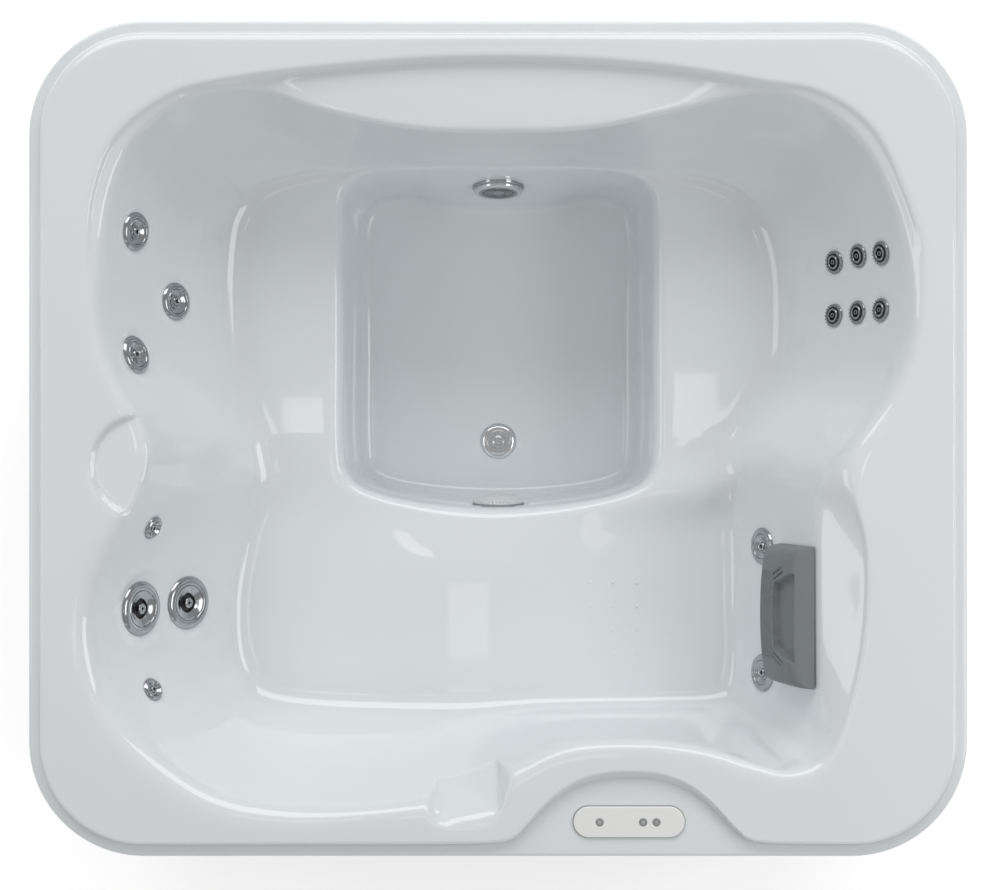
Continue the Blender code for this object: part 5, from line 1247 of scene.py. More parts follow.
def large_nozzle(name, radius, placing):
    """The swivelling ball nozzle, with its bright mouth ring and a black bore lining of painted shade; all
    sizes are shares of the ball's radius.
    """
    ball = radius * 0.14
    centre = placing @ Matrix.Translation((0, 0, -0.0057 + ball))
    mouth = [(0, -0.35), (0.42, -0.35), (0.42, 0.28), (0.52, 0.4), (0.85, 0.48), (1.2, 0.38), (1.36, 0.22),
             (1.36, 0.1)]
    back = [(math.cos(math.radians(2 - 9.2 * i)), math.sin(math.radians(2 - 9.2 * i))) for i in range(10)]
    # The bore's black lining is painted shade in the nozzle's mouth.
    bore = [(0, -0.33), (0.4, -0.33), (0.4, 0.2), (0.36, 0.2), (0.36, -0.1), (0, -0.1)]
    body, dark = ([(ball * r, ball * z) for r, z in shares] for shares in (mouth + back + [(0, -1)], bore))
    return joined(name, [lathe(name + "_ball", body, centre, chrome(), steps=40),
                         lathe(name + "_bore", dark, centre, seal_and_shade_black(), steps=40)])


def medium_face(name, radius, placing):
    """A medium jet's face: a bright bowl round a raised eye with a dark disc of painted shade for its outlet,
    held by three spokes.
    """
    rim, moat, eye = radius * 0.654, radius * 0.36, radius * 0.24
    dome = shares_of(eye, (0, 0.0024), (0.42, 0.0024), (0.46, 0.0046), (0.62, 0.0054), (0.86, 0.005),
                     (1, 0.0034))
    dome += [(eye + 0.0004, 0.001), (moat - 0.0006, 0.0006), (moat, 0.0012)]
    dome += shares_of(radius, (0.43, 0.0022), (0.5, 0.004), (0.57, 0.0056))
    dome += [(rim - 0.0008, 0.0061), (rim, 0.0054), (rim, -JET_FACE_DEPTH), (0, -JET_FACE_DEPTH)]
    ring = lathe(name + "_dome", dome, placing, chrome(), steps=72)
    spokes = ring_of(name + "_spokes", rib((moat - eye + 0.002, radius * 0.11, 0.003)), placing,
                     dark_chrome(), 3, (moat + eye) / 2, 0.0006)
    return joined(name, [ring, jet_outlet_shade_disc(name, eye * 0.4, 0.0028, placing), spokes])


def small_jet(name, radius, placing):
    """A small fixed jet: a domed ring, a bowl and an eye, with a dark disc of painted shade for its outlet.
    """
    moat, eye = radius * 0.44, radius * 0.28
    profile = shares_of(eye, (0, 0.002), (0.45, 0.002), (0.5, 0.0048), (0.8, 0.0052), (1, 0.0036))
    profile += [(eye + 0.0004, 0.0008), (moat - 0.0004, 0.0006), (moat + 0.001, 0.002)]
    profile += shares_of(radius, (0.6, 0.0048), (0.7, 0.0068), (0.8, 0.0068), (0.9, 0.005), (0.97, 0.0026),
                         (1, 0.001), (1, FIT_GAP))
    profile += sleeve(radius) + [(0, -JET_BODY_DEPTH)]
    ring = lathe(name + "_ring", profile, placing, chrome(), steps=56)
    return joined(name, [ring, jet_outlet_shade_disc(name, eye * 0.42, 0.0024, placing)])


def cluster_jet(name, radius, placing):
    """A cluster jet: ribbed dark flange, stepped raised ring and a bright eye; the black moat lining, the
    black ring in the groove and the dark outlet disc are painted shade.
    """
    moat, eye = radius * 0.4, radius * 0.22
    profile = shares_of(eye, (0, 0.0022), (0.45, 0.0022), (0.55, 0.0068), (0.85, 0.007), (1, 0.0052),
                        (1, -0.004))
    profile += [(moat, -0.004), (moat, 0.0066), (moat + 0.0008, 0.0078)]
    profile += shares_of(radius, (0.52, 0.008), (0.58, 0.0068), (0.6, 0.0034), (0.68, 0.003), (0.74, 0.0046),
                         (0.88, 0.0046), (0.95, 0.0034), (0.985, 0.0012), (0.985, FIT_GAP))
    profile += sleeve(radius) + [(0, -JET_BODY_DEPTH)]
    # Black lining of the moat and black ring in the groove: painted shade.
    shade_lining = [(eye + 0.0002, -0.003), (eye + 0.0002, -0.0038), (moat - 0.0002, -0.0038),
              (moat - 0.0002, 0.005), (moat - 0.0008, 0.005), (moat - 0.0008, -0.003)]
    groove_shade = shares_of(radius, (0.605, 0.004), (0.605, 0.0035), (0.68, 0.0032), (0.735, 0.0047),
                       (0.735, 0.005), (0.68, 0.0036))
    parts = [lathe(name + label, line, placing, mat, steps=56) for label, line, mat in (
        ("_ring", profile, dark_chrome()), ("_moat", shade_lining, seal_and_shade_black()),
        ("_groove", groove_shade, seal_and_shade_black()))]
    ribs = ring_of(name + "_ribs", rib((radius * 0.15, radius * 0.13, 0.006)), placing, dark_chrome(), 20,
                   radius * 0.92, 0.0028)
    return joined(name, [*parts, ribs, jet_outlet_shade_disc(name, eye * 0.42, 0.0026, placing)])


class HOTTUB_OT_turning_jets(bpy.types.Operator):
    """Make the large, medium and shoulder jets, each with the face that turns in its body"""

    bl_idname = "hottub.turning_jets"
    bl_label = "Turning jets"

    def execute(self, context):
        for name, kind, radius, placing in JETS:
            if kind not in ("large", "medium"):
                continue
            settle(jet_body(name + "_flange", radius, placing), ROOT, "chrome", name + "_body")
            face = (large_face if kind == "large" else medium_face)(name + "_turning_face", radius, placing)
            settle(face, name + "_face", "chrome", name + "_face")
            if kind == "large":
                nozzle = large_nozzle(name + "_ball_nozzle", radius, placing)
                settle(nozzle, name + "_nozzle", "dark_plastic", name + "_nozzle")
        return {"FINISHED"}


class HOTTUB_OT_fixed_jets(bpy.types.Operator):
    """Make the small jets at the foot end and the cluster of six"""

    bl_idname = "hottub.fixed_jets"
    bl_label = "Fixed jets"

    def execute(self, context):
        for name, kind, radius, placing in JETS:
            if kind in ("small", "cluster"):
                make = small_jet if kind == "small" else cluster_jet
                settle(make(name + "_whole", radius, placing), ROOT, "chrome", name)
        return {"FINISHED"}


# Fittings of the footwell

class HOTTUB_OT_suction(bpy.types.Operator):
    """Make the suction fitting: bright flange, slotted sides and a domed grille"""

    bl_idname = "hottub.suction"
    bl_label = "Suction fitting"

    def execute(self, context):
        radius, seat, hole = SUCTION_RADIUS, SUCTION_RISE / 2, SUCTION_RADIUS * JET_HOLE_SHARE
        flange = [
            (hole - SHELL_WALL, seat), *near(radius, seat, (-0.0048, 0), (-0.0022, -0.0007),
                                             (-0.0006, -0.0026)),
            (radius, 0.003), (radius, FIT_GAP), *sleeve(radius), (hole - SHELL_WALL, -JET_BODY_DEPTH),
        ]
        settle(lathe("suction_flange", flange, SUCTION_PLACING, chrome(), angle=50), ROOT, "grey_plastic",
               "suction_body")
        edge, low, top = radius - SHELL_WALL / 2, seat + FIT_GAP, SUCTION_RISE
        profile = shares_of(edge, (0.8, top - 0.0004), (0.9, top), (0.955, top - 0.0008),
                            (0.985, top - 0.0022), (1, top - 0.0042), (1, low), (0, low), (0, top - 0.0038),
                            (0.8, top - 0.0038))
        side = lathe("side", profile, SUCTION_PLACING, bright_chrome())
        well, land = edge * 0.26, edge * 0.66
        cap = lathe("cap", [
            (0, top - 0.0006), *near(well, top, (-0.001, -0.0004), (0, -0.0012), (0, -0.003)),
            *near(land, top, (0, -0.003), (0, -0.0006), (0.0012, -0.0002)),
            *near(edge * 0.79, top, (0, -0.0006), (0, -0.0036)), (0, top - 0.0036),
        ], SUCTION_PLACING, grey_plastic())
        high, deep = top - 0.0024, top - 0.0029
        floor = lathe("floor", [(well, high), (land, high), (land, deep), (well, deep)], SUCTION_PLACING,
                      dark_chrome())
        grid = ring_of("grid", rib((land - well + 0.002, 0.0019, 0.0034)), SUCTION_PLACING, grey_plastic(),
                       26, (land + well) / 2, top - 0.0016)
        settle(joined("suction_grille_dome", [side, cap, floor, grid]), ROOT, "chrome", "suction_grille")
        return {"FINISHED"}


class HOTTUB_OT_floor_fitting(bpy.types.Operator):
    """Make the round fitting in the footwell floor, with its raised rings"""

    bl_idname = "hottub.floor_fitting"
    bl_label = "Floor fitting"

    def execute(self, context):
        radius, hole = FLOOR_FITTING_RADIUS, FLOOR_FITTING_RADIUS * FLOOR_HOLE_SHARE - FIT_GAP
        profile = shares_of(radius, (0, 0.005), (0.1, 0.005), (0.14, 0.0036), (0.2, 0.0036), (0.24, 0.0054),
                            (0.32, 0.0058), (0.36, 0.0046), (0.44, 0.0046), (0.48, 0.0062), (0.58, 0.0074),
                            (0.68, 0.0078), (0.78, 0.0072), (0.87, 0.0056), (0.94, 0.0034), (0.98, 0.0016),
                            (1, FIT_GAP))
        profile += [(hole, FIT_GAP), (hole, -SHELL_WALL), (0, -SHELL_WALL)]
        disc = lathe("disc", profile, FLOOR_PLACING, bright_chrome(), angle=20)
        ring = shares_of(radius, (1.03, 0.0009), (1.22, 0.0011), (1.28, 0.0008), (1.31, FIT_GAP),
                         (1.03, FIT_GAP))
        seat = lathe("seat", ring, FLOOR_PLACING, acrylic())
        notches = ring_of("notches", rib((radius * 0.1, radius * 0.05, 0.002)), FLOOR_PLACING, dark_chrome(),
                          16, radius * 0.4, 0.005)
        settle(joined("floor_fitting_disc", [disc, seat, notches]), ROOT, "chrome", "floor_fitting")
        return {"FINISHED"}


class HOTTUB_OT_light(bpy.types.Operator):
    """Make the underwater light: its housing and the fluted clear lens"""

    bl_idname = "hottub.light"
    bl_label = "Light"

    def execute(self, context):
        radius, seat, back = LIGHT_RADIUS, LIGHT_RISE / 3, -JET_FACE_DEPTH
        hole, wall = radius * JET_HOLE_SHARE, SHELL_WALL
        cup = [(0, back + wall / 2), (hole - wall * 1.4, back + wall / 2), (hole - wall, seat),
               *near(radius, seat, (-0.0022, 0), (-0.0006, -0.0008), (0, -0.0022)), (radius, FIT_GAP),
               (hole - FIT_GAP, FIT_GAP), (hole - FIT_GAP, back), (0, back)]
        settle(lathe("light_cup", cup, LIGHT_PLACING, grey_plastic()), ROOT, "grey_plastic", "light_housing")
        low, top = seat + FIT_GAP, LIGHT_RISE + LIGHT_DOME
        domes = [(s, top - LIGHT_DOME * s * s) for s in (0, 0.18, 0.34, 0.5, 0.66, 0.8)]
        profile = shares_of(radius, *domes, (0.92, top - LIGHT_DOME - 0.002), (0.975, low + 0.0022),
                            (0.985, low), (0, low))
        lens = lathe("lens", profile, LIGHT_PLACING, clear_lens())
        flutes = ring_of("flutes", rib((0.01, 0.004, 0.007)), LIGHT_PLACING, clear_lens(), 46, radius * 0.91,
                         low + 0.0036)
        rings = [lathe(f"prism_{s}", near(radius * s, z, (-0.0018, -0.0012), (0, 0.0008), (0.0018, -0.0016)),
                       LIGHT_PLACING, clear_lens()) for s, z in domes[1:5]]
        settle(joined("light_lens_fluted", [lens, flutes, *rings]), ROOT, "clear_plastic", "light_lens")
        return {"FINISHED"}


# Controls

def stadium(length, width, height, steps=24):
    """Points of a bar with round ends about the controls' middle, anticlockwise, at a height."""
    radius = width / 2
    centre = length / 2 - radius
    right = [math.radians(-90 + 180 * i / steps) for i in range(steps + 1)]
    left = [math.radians(90 + 180 * i / steps) for i in range(steps + 1)]
    points = [(centre + radius * math.cos(a), radius * math.sin(a)) for a in right]
    points += [(-centre + radius * math.cos(a), radius * math.sin(a)) for a in left]
    return [(NOTCH_X + x, CONTROL_Y + y, height) for x, y in points]


class HOTTUB_OT_controls(bpy.types.Operator):
    """Make the control panel's housing and its three pressed buttons"""

    bl_idname = "hottub.controls"
    bl_label = "Controls"

    def execute(self, context):
        plateau = RIM_HEIGHT - FLANGE_DROP + FIT_GAP
        top = plateau + CONTROL_WALL
        cover = self.layered("cover", panel_white(), (0.0016, plateau + 0.0012), (0, plateau + 0.0016),
                             (0, top - 0.002), (0.0005, top - 0.001), (0.0014, top - 0.0003), (0.0026, top))
        # A grey ring round the cover's foot: painted shade of the gap between the cover and the plateau.
        gasket = self.layered("gasket", shadow_gap_grey(), (-0.0014, plateau), (-0.0014, plateau + 0.0012),
                              (-0.0006, plateau + 0.0018))
        reach, depth = BUTTON_RADIUS + FIT_GAP, BUTTON_HEIGHT + BUTTON_TRAVEL - BUTTON_RISE + FIT_GAP
        pockets = [lathe("pocket", plain(reach, 0.01, -depth), self.button_place(share, top), shadow_gap_grey(),
                         steps=40)
                   for share in BUTTON_X_SHARES]
        cover = soft(cut_out(cover, joined("pockets", pockets)), 9.5)
        half = Vector((CONTROL_BODY_LENGTH / 2, CONTROL_BODY_WIDTH / 2, 0))
        middle = Vector((NOTCH_X, CONTROL_Y, plateau))
        box = bar("box", middle - half - Vector((0, 0, CONTROL_BODY_DEPTH)),
                  middle + half + Vector((0, 0, 0.001)), dark_plastic(), 0.003)
        settle(joined("control_panel", [cover, gasket, box]), ROOT, "white_plastic", "control_housing")
        for i, share in enumerate(BUTTON_X_SHARES, 1):
            base = self.button_place(share, top + BUTTON_RISE - BUTTON_HEIGHT)
            dome = lathe("dome", [(0, 0.0032), (0.004, 0.0032), (0.0058, BUTTON_HEIGHT), (0.007, 0.0033),
                                  (0.0077, 0.0026), (BUTTON_RADIUS, 0.0016), (BUTTON_RADIUS, 0), (0, 0)],
                         base, button_rubber(), steps=48)
            dot = lathe("dot", [(0, 0.0038), (0.0011, 0.0037), (0.0014, 0.0033), (0.0014, 0.003), (0, 0.003)],
                        base, button_mark(), steps=24)
            if i == len(BUTTON_X_SHARES):
                mark = ring_of("rays", rib((0.0016, 0.0007, 0.001)), base, button_mark(), 8, 0.0029, 0.0034)
            else:
                mark = lathe("mark", [(0.0026, 0.0036), (0.0032, 0.0036), (0.0034, 0.0032), (0.0034, 0.0029),
                                      (0.0024, 0.0029)], base, button_mark(), steps=32)
            settle(joined(f"button_{i}_cap", [dome, dot, mark]), f"button_{i}", "grey_plastic", f"button_{i}")
        return {"FINISHED"}

    def layered(self, name, mat, *layers):
        """A bar with round ends through layers, each given as its inset and its height."""
        outlines = [stadium(CONTROL_LENGTH - 2 * i, CONTROL_WIDTH - 2 * i, z) for i, z in layers]
        return stacked(name, outlines, mat)

    def button_place(self, share, height):
        """The place of a button on the bar, at a height."""
        return Matrix.Translation((NOTCH_X + share * CONTROL_LENGTH / 2, CONTROL_Y, height))


# Pillow

def pillow_frame():
    """The pillow's placing, read off its CAD solid: own +X along it, +Y up its wall, +Z off the wall."""
    solid = frame["nodes"]["pillow"]
    places = np.array([solid.matrix_world @ v.co for v in solid.data.vertices])
    joint = next(j for j in frame["joints"] if j["name"] == "pillow_off")
    off_wall = Vector(joint["axis"]).normalized()
    along = Vector((0, -1, 0))
    up_wall = off_wall.cross(along)
    shares = places @ np.array([along, up_wall, off_wall]).T
    low, high = shares.min(0), shares.max(0)
    edge = places[shares[:, 1] > high[1] - 0.001]
    middle = (edge @ np.array(along)).mean()
    origin = along * float(middle) + up_wall * float(high[1] - PILLOW_HEIGHT / 2) + off_wall * float(low[2])
    turn = Matrix((along, up_wall, off_wall)).transposed().to_4x4()
    return Matrix.Translation(origin) @ turn


def pillow_depth(u, v):
    """How far the pillow's face stands off its back at a share of its length and of its height."""
    edge = np.maximum((1 - np.abs(u) ** PILLOW_CORNER_POWER) * (1 - np.abs(v) ** PILLOW_CORNER_POWER), 0)
    crown = 1 - PILLOW_CROWN / PILLOW_DEPTH * (u * u + v * v) / 2
    depth = PILLOW_DEPTH * crown * edge**PILLOW_EDGE_POWER
    length, height = u * PILLOW_LENGTH / 2, v * PILLOW_HEIGHT / 2
    bend = RECESS_BEND * (length / (PILLOW_LENGTH / 2)) ** 2
    low_half, high_half = RECESS_HALF_LENGTHS
    reach = low_half + (high_half - low_half) * (height - RECESS_LOW) / (RECESS_HIGH - RECESS_LOW)
    side = smooth_step(0.003, -0.003, np.abs(length) - reach)
    hollow = side * smooth_step(RECESS_LOW - 0.0015, RECESS_LOW + 0.0015, height - bend)
    hollow *= 1 - smooth_step(RECESS_HIGH - 0.008, RECESS_HIGH + 0.002, height)
    band = smooth_step(high_half + 0.003, high_half - 0.003, np.abs(length))
    band = band * smooth_step(BAND_LOW - 0.002, BAND_LOW + 0.002, height - bend)
    band *= 1 - smooth_step(RECESS_LOW - 0.006, RECESS_LOW - 0.003, height - bend)
    stripes = 0.5 - 0.5 * np.cos(2 * math.pi * (height - bend - BAND_LOW) / BAND_PITCH)
    slit = np.zeros_like(u)
    for start_u, start_v, end_u, end_v in PILLOW_SLITS:
        run = (end_u - start_u) ** 2 + (end_v - start_v) ** 2
        along = (np.abs(length) - start_u) * (end_u - start_u) + (height - start_v) * (end_v - start_v)
        t = np.clip(along / run, 0, 1)
        away = np.hypot(np.abs(length) - start_u - t * (end_u - start_u),
                        height - start_v - t * (end_v - start_v))
        slit = np.maximum(slit, 1 - smooth_step(SLIT_WIDTH / 2, SLIT_WIDTH, away))
    depth = depth - RECESS_DEPTH * hollow - BAND_DEPTH * band * stripes - SLIT_DEPTH * slit * (1 - hollow)
    return np.maximum(depth, PILLOW_EDGE)


class HOTTUB_OT_pillow(bpy.types.Operator):
    """Form the foam pillow, with its crescent hollow, ribbed band and slits"""

    bl_idname = "hottub.pillow"
    bl_label = "Pillow"

    def execute(self, context):
        columns, rows = PILLOW_COLUMNS, PILLOW_ROWS
        u = self.spread(columns)[None, :] * np.ones((rows + 1, 1))
        v = self.spread(rows)[:, None] * np.ones((1, columns + 1))
        bow = 1 + PILLOW_BOW_SHARE * (1 - u * u) * (1 - v) / 2
        x, y, z = u * PILLOW_LENGTH / 2, v * PILLOW_HEIGHT / 2 * bow, pillow_depth(u, v)
        front = np.stack([x, y, z], -1).reshape(-1, 3)
        back = np.stack([x, y, 0 * z], -1).reshape(-1, 3)
        points = [tuple(p) for p in np.concatenate([front, back])]
        wide, half = columns + 1, (rows + 1) * (columns + 1)
        faces = []
        for i in range(rows):
            for j in range(columns):
                a = i * wide + j
                faces.append((a, a + 1, a + wide + 1, a + wide))
                faces.append((half + a, half + a + wide, half + a + wide + 1, half + a + 1))
        edge = [j for j in range(columns)] + [i * wide + columns for i in range(rows)]
        edge += [rows * wide + columns - j for j in range(columns)] + [(rows - i) * wide for i in range(rows)]
        for a, b in zip(edge, edge[1:] + edge[:1]):
            faces.append((a, half + a, half + b, b))
        mesh = grid_mesh("pillow_foam_form", points, faces)
        mesh.transform(pillow_frame())
        obj = soft(put("pillow_foam_form", tidy_mesh(mesh), foam()), 50)
        settle(obj, "pillow", "pillow_foam", "pillow")
        return {"FINISHED"}

    def spread(self, count):
        """Places from -1 to 1, closer together towards the ends."""
        even = np.linspace(-1, 1, count + 1)
        return 0.72 * even + 0.28 * np.sin(even * math.pi / 2)


class HOTTUB_OT_grip_dots(bpy.types.Operator):
    """Set the raised grip dots on the lounger's bed"""

    bl_idname = "hottub.grip_dots"
    bl_label = "Grip dots"

    def execute(self, context):
        places = []
        for column in range(GRIP_COUNTS[0]):
            for row in range(GRIP_COUNTS[1]):
                x = GRIP_MIDDLE[0] + (column - (GRIP_COUNTS[0] - 1) / 2) * GRIP_PITCH
                y = GRIP_MIDDLE[1] + (row - (GRIP_COUNTS[1] - 1) / 2) * GRIP_PITCH
                places.append((x, y, shell_height(x, y)))
        dots = copies_at("lounger_grip_dots", rib((GRIP_SIZE, GRIP_SIZE, GRIP_RISE * 2)), places, acrylic())
        settle(dots, ROOT, "acrylic")
        return {"FINISHED"}


# Cabinet

PAN_TOP = PAN_HEIGHT + FIT_GAP
PANEL_TOP = RIM_HEIGHT - FLANGE_DROP - SKIRT_DEPTH - PANEL_TOP_GAP
OUTER_X, OUTER_Y = HALF_LENGTH - PANEL_INSET, HALF_WIDTH - PANEL_INSET
CORNER_X, CORNER_Y = HALF_LENGTH - CORNER_RADIUS, HALF_WIDTH - CORNER_RADIUS


def cabinet_panel(name, half_run, outer):
    """A panel at the front, as a back board, upright slats, a strip above and below, and its screws."""
    strip_low, strip_high = PAN_TOP + STRIP_HEIGHT, PANEL_TOP - STRIP_HEIGHT
    board_y = -outer + PANEL_WALL - BOARD_WALL
    parts = [
        bar("board", (-half_run, board_y, PAN_TOP), (half_run, -outer + PANEL_WALL, PANEL_TOP),
            cabinet_board(), 0.001),
        bar("low_strip", (-half_run, -outer, PAN_TOP), (half_run, board_y + 0.001, strip_low),
            cabinet_corner(), 0.003),
        bar("high_strip", (-half_run, -outer, strip_high), (half_run, board_y + 0.001, PANEL_TOP),
            cabinet_corner(), 0.003),
    ]
    count = round(2 * half_run / SLAT_PITCH)
    pitch = 2 * half_run / count
    slat = bar("slat", (-(pitch - SLAT_GAP) / 2, -outer + 0.0006, strip_low - 0.001),
               ((pitch - SLAT_GAP) / 2, board_y + 0.001, strip_high + 0.001), cabinet_board(), SLAT_EDGE, 3)
    start = (-half_run + pitch / 2, 0, 0)
    parts.append(row_of("slats", slat, cabinet_board(), count, start, (pitch, 0, 0)))
    places = [(x, z, 0) for z in (PAN_TOP + STRIP_HEIGHT / 2, PANEL_TOP - STRIP_HEIGHT / 2)
              for x in np.linspace(-half_run + 0.03, half_run - 0.03, 5)]
    upright = Matrix.Translation((0, -outer, 0)) @ Matrix.Rotation(math.pi / 2, 4, "X")
    parts.append(copies_at("screws", screw_head(0.0048, 0.0012), places, steel(), upright))
    return joined(name, parts)


class HOTTUB_OT_panels(bpy.types.Operator):
    """Make the four slatted cabinet panels; the front one comes off"""

    bl_idname = "hottub.panels"
    bl_label = "Cabinet panels"

    def execute(self, context):
        run_x, run_y = CORNER_X - FIT_GAP, CORNER_Y - FIT_GAP
        for piece, half_run, outer, turn, body in (
            ("panel_front", run_x, OUTER_Y, 0, "access_panel"), ("panel_rear", run_x, OUTER_Y, 180, ROOT),
            ("panel_right", run_y, OUTER_X, 90, ROOT), ("panel_left", run_y, OUTER_X, -90, ROOT),
        ):
            obj = cabinet_panel(piece + "_slatted", half_run, outer)
            obj.data.transform(Matrix.Rotation(math.radians(turn), 4, "Z"))
            settle(obj, body, "cabinet_plastic", piece)
        return {"FINISHED"}


class HOTTUB_OT_posts(bpy.types.Operator):
    """Make the moulded corner posts with their inner legs, flutes and screws"""

    bl_idname = "hottub.posts"
    bl_label = "Corner posts"

    def execute(self, context):
        outer = CORNER_RADIUS - PANEL_INSET
        inner = outer - PANEL_WALL
        rail_low = RIM_HEIGHT - SHELL_WALL - RAIL_TOP_GAP - RAIL_DEPTH - FIT_GAP
        front_low = RIM_HEIGHT - FRONT_RAIL_DROP - RAIL_DEPTH - FIT_GAP
        turns = np.linspace(0, math.pi / 2, POST_STEPS + 1)
        flute = np.clip(np.cos(turns * 4 * POST_FLUTES) - 0.8, 0, 1) / 0.2 * POST_FLUTE_DEPTH
        flute[[0, -1]] = 0
        for side_x, side_y, piece in ((1, -1, "front_right"), (-1, -1, "front_left"), (1, 1, "rear_right"),
                                     (-1, 1, "rear_left")):
            outlines = []
            for inset, z in ((0.0015, PAN_TOP), (0, PAN_TOP + 0.0015), (0, PANEL_TOP - 0.0015),
                             (0.0015, PANEL_TOP)):
                r = outer - flute - inset
                points = list(zip(r * np.cos(turns), r * np.sin(turns)))
                back = inner + inset
                points += [(back * math.cos(a), back * math.sin(a)) for a in turns[::-1]]
                outlines.append([(side_x * (CORNER_X + x), side_y * (CORNER_Y + y), z) for x, y in points])
            parts = [stacked("arc", outlines, cabinet_corner(), 25)]
            near_x, far_x = OUTER_X - PANEL_WALL / 2, OUTER_X - PANEL_WALL - LEG_DEPTH
            near_y, far_y = OUTER_Y - PANEL_WALL / 2, OUTER_Y - PANEL_WALL - LEG_DEPTH
            legs = (((CORNER_X + FIT_GAP, near_y), (CORNER_X + LEG_WIDTH, far_y),
                     front_low if side_y < 0 else rail_low),
                    ((near_x, CORNER_Y + FIT_GAP), (far_x, CORNER_Y + LEG_WIDTH), rail_low))
            for inner_end, outer_end, head in legs:
                xs = sorted(side_x * end[0] for end in (inner_end, outer_end))
                ys = sorted(side_y * end[1] for end in (inner_end, outer_end))
                parts.append(bar("leg", (xs[0], ys[0], PAN_TOP), (xs[1], ys[1], min(head, PANEL_TOP)),
                                 cabinet_corner(), 0.003))
            out = Vector((side_x * math.cos(math.pi / 4), side_y * math.sin(math.pi / 4), 0))
            base = Vector((side_x * CORNER_X, side_y * CORNER_Y, 0)) + out * outer
            lean = facing(base, out)
            heights = (PAN_TOP + 0.03, PANEL_TOP - 0.03)
            places = [(Vector((0, 0, z)) @ lean.to_3x3()).to_tuple() for z in heights]
            parts.append(copies_at("screws", screw_head(0.0055, 0.0012), places, steel(), lean))
            settle(joined(f"post_{piece}_fluted", parts), ROOT, "cabinet_plastic", f"corner_post_{piece}")
        return {"FINISHED"}


class HOTTUB_OT_frame_parts(bpy.types.Operator):
    """Make the base pan and the four steel channel rails under the rim"""

    bl_idname = "hottub.frame_parts"
    bl_label = "Pan and rails"

    def execute(self, context):
        levels = ((0.006, 0), (0.001, 0.004), (0, 0.007), (0, 0.027), (0.0006, 0.0292), (0.002, PAN_HEIGHT),
                  (0.03, PAN_HEIGHT), (0.033, PAN_HEIGHT - 0.004))
        rings = []
        for inset, z in levels:
            step_in = PAN_INSET + inset
            outline = rounded_rectangle(HALF_LENGTH - step_in, HALF_WIDTH - step_in, CORNER_RADIUS - step_in,
                                        16, 1)
            rings.append([(x, y, z) for x, y in outline])
        pan = stacked("pan", rings, pan_black())
        top = FOOTWELL_FLOOR_HEIGHT - SHELL_WALL - FIT_GAP
        half_x = FOOTWELL_FLOOR_HALF_LENGTH - PEDESTAL_INSET
        half_y = FOOTWELL_Y - FLOOR_FITTING_Y - FLOOR_FITTING_RADIUS - PEDESTAL_CLEARANCE
        block = bar("pedestal", (-half_x, FOOTWELL_Y - half_y, PAN_HEIGHT / 2),
                    (half_x, FOOTWELL_Y + half_y, top), pan_black(), 0.006)
        stiffener = bar("stiffener", (-0.004, FOOTWELL_Y - half_y - 0.012, PAN_HEIGHT / 2),
                        (0.004, FOOTWELL_Y + half_y + 0.012, top - 0.012), pan_black(), 0.002)
        ribs = row_of("ribs", stiffener, pan_black(), 7, (-half_x * 0.9, 0, 0), (half_x * 0.3, 0, 0))
        settle(joined("base_pan_moulded", [pan, block, ribs]), ROOT, "cabinet_plastic", "base_pan")
        rail_top = RIM_HEIGHT - SHELL_WALL - RAIL_TOP_GAP
        front_top = RIM_HEIGHT - FRONT_RAIL_DROP
        long_run, short_run = CORNER_X + LEG_WIDTH, CORNER_Y + LEG_WIDTH
        for piece, run, inset, top, turn in (
            ("rail_front", long_run, HALF_WIDTH - RAIL_INSET, front_top, 0),
            ("rail_rear", long_run, HALF_WIDTH - RAIL_INSET, rail_top, 180),
            ("rail_right", short_run, HALF_LENGTH - RAIL_INSET, rail_top, 90),
            ("rail_left", short_run, HALF_LENGTH - RAIL_INSET, rail_top, -90),
        ):
            rail = channel_rail(piece + "_channel", run, inset, top)
            rail.data.transform(Matrix.Rotation(math.radians(turn), 4, "Z"))
            settle(rail, ROOT, "steel", piece)
        return {"FINISHED"}


def channel_rail(name, run, inset, top):
    """A front rail: a folded steel channel, open inwards, with bolts through its web."""
    wall, low = 0.003, top - RAIL_DEPTH
    section = [(0, 0), (RAIL_WIDTH, 0), (RAIL_WIDTH, wall), (wall * 1.6, wall), (wall, wall * 1.6),
               (wall, RAIL_DEPTH - wall * 1.6), (wall * 1.6, RAIL_DEPTH - wall),
               (RAIL_WIDTH, RAIL_DEPTH - wall), (RAIL_WIDTH, RAIL_DEPTH), (0, RAIL_DEPTH)]
    ends = [[(x, -inset + y, low + z) for y, z in section] for x in (-run, run)]
    channel = stacked("channel", ends, steel(), 30)
    places = [(x, (top + low) / 2, 0) for x in np.linspace(-run + 0.02, run - 0.02, 8)]
    upright = Matrix.Translation((0, -inset, 0)) @ Matrix.Rotation(math.pi / 2, 4, "X")
    bolts = copies_at("bolts", bolt_head(0.007, 0.004), places, steel(), upright)
    return joined(name, [channel, bolts])


# Pump, heater, filter, control box, drain and pipes

PUMP_PLACING = facing((0, PUMP_Y, PUMP_HEIGHT), (-1, 0, 0))
FILTER_X = -(VOLUTE_LENGTH + PORT_LENGTH + FILTER_RADIUS + FIT_GAP)
FILTER_PLACING = Matrix.Translation((FILTER_X, PUMP_Y, PAN_TOP))
HEATER_START = -VOLUTE_LENGTH / 2 - HEATER_RADIUS


def ringed(profile_radius, low, high, count, depth):
    """Profile points down a wall that carries shallow rounded ribs."""
    points = []
    for i in range(count):
        z = high + (low - high) * (i + 0.5) / count
        half = (high - low) / count * 0.28
        points += [(profile_radius - depth, z + half * 1.5), (profile_radius, z + half),
                   (profile_radius, z - half), (profile_radius - depth, z - half * 1.5)]
    return points


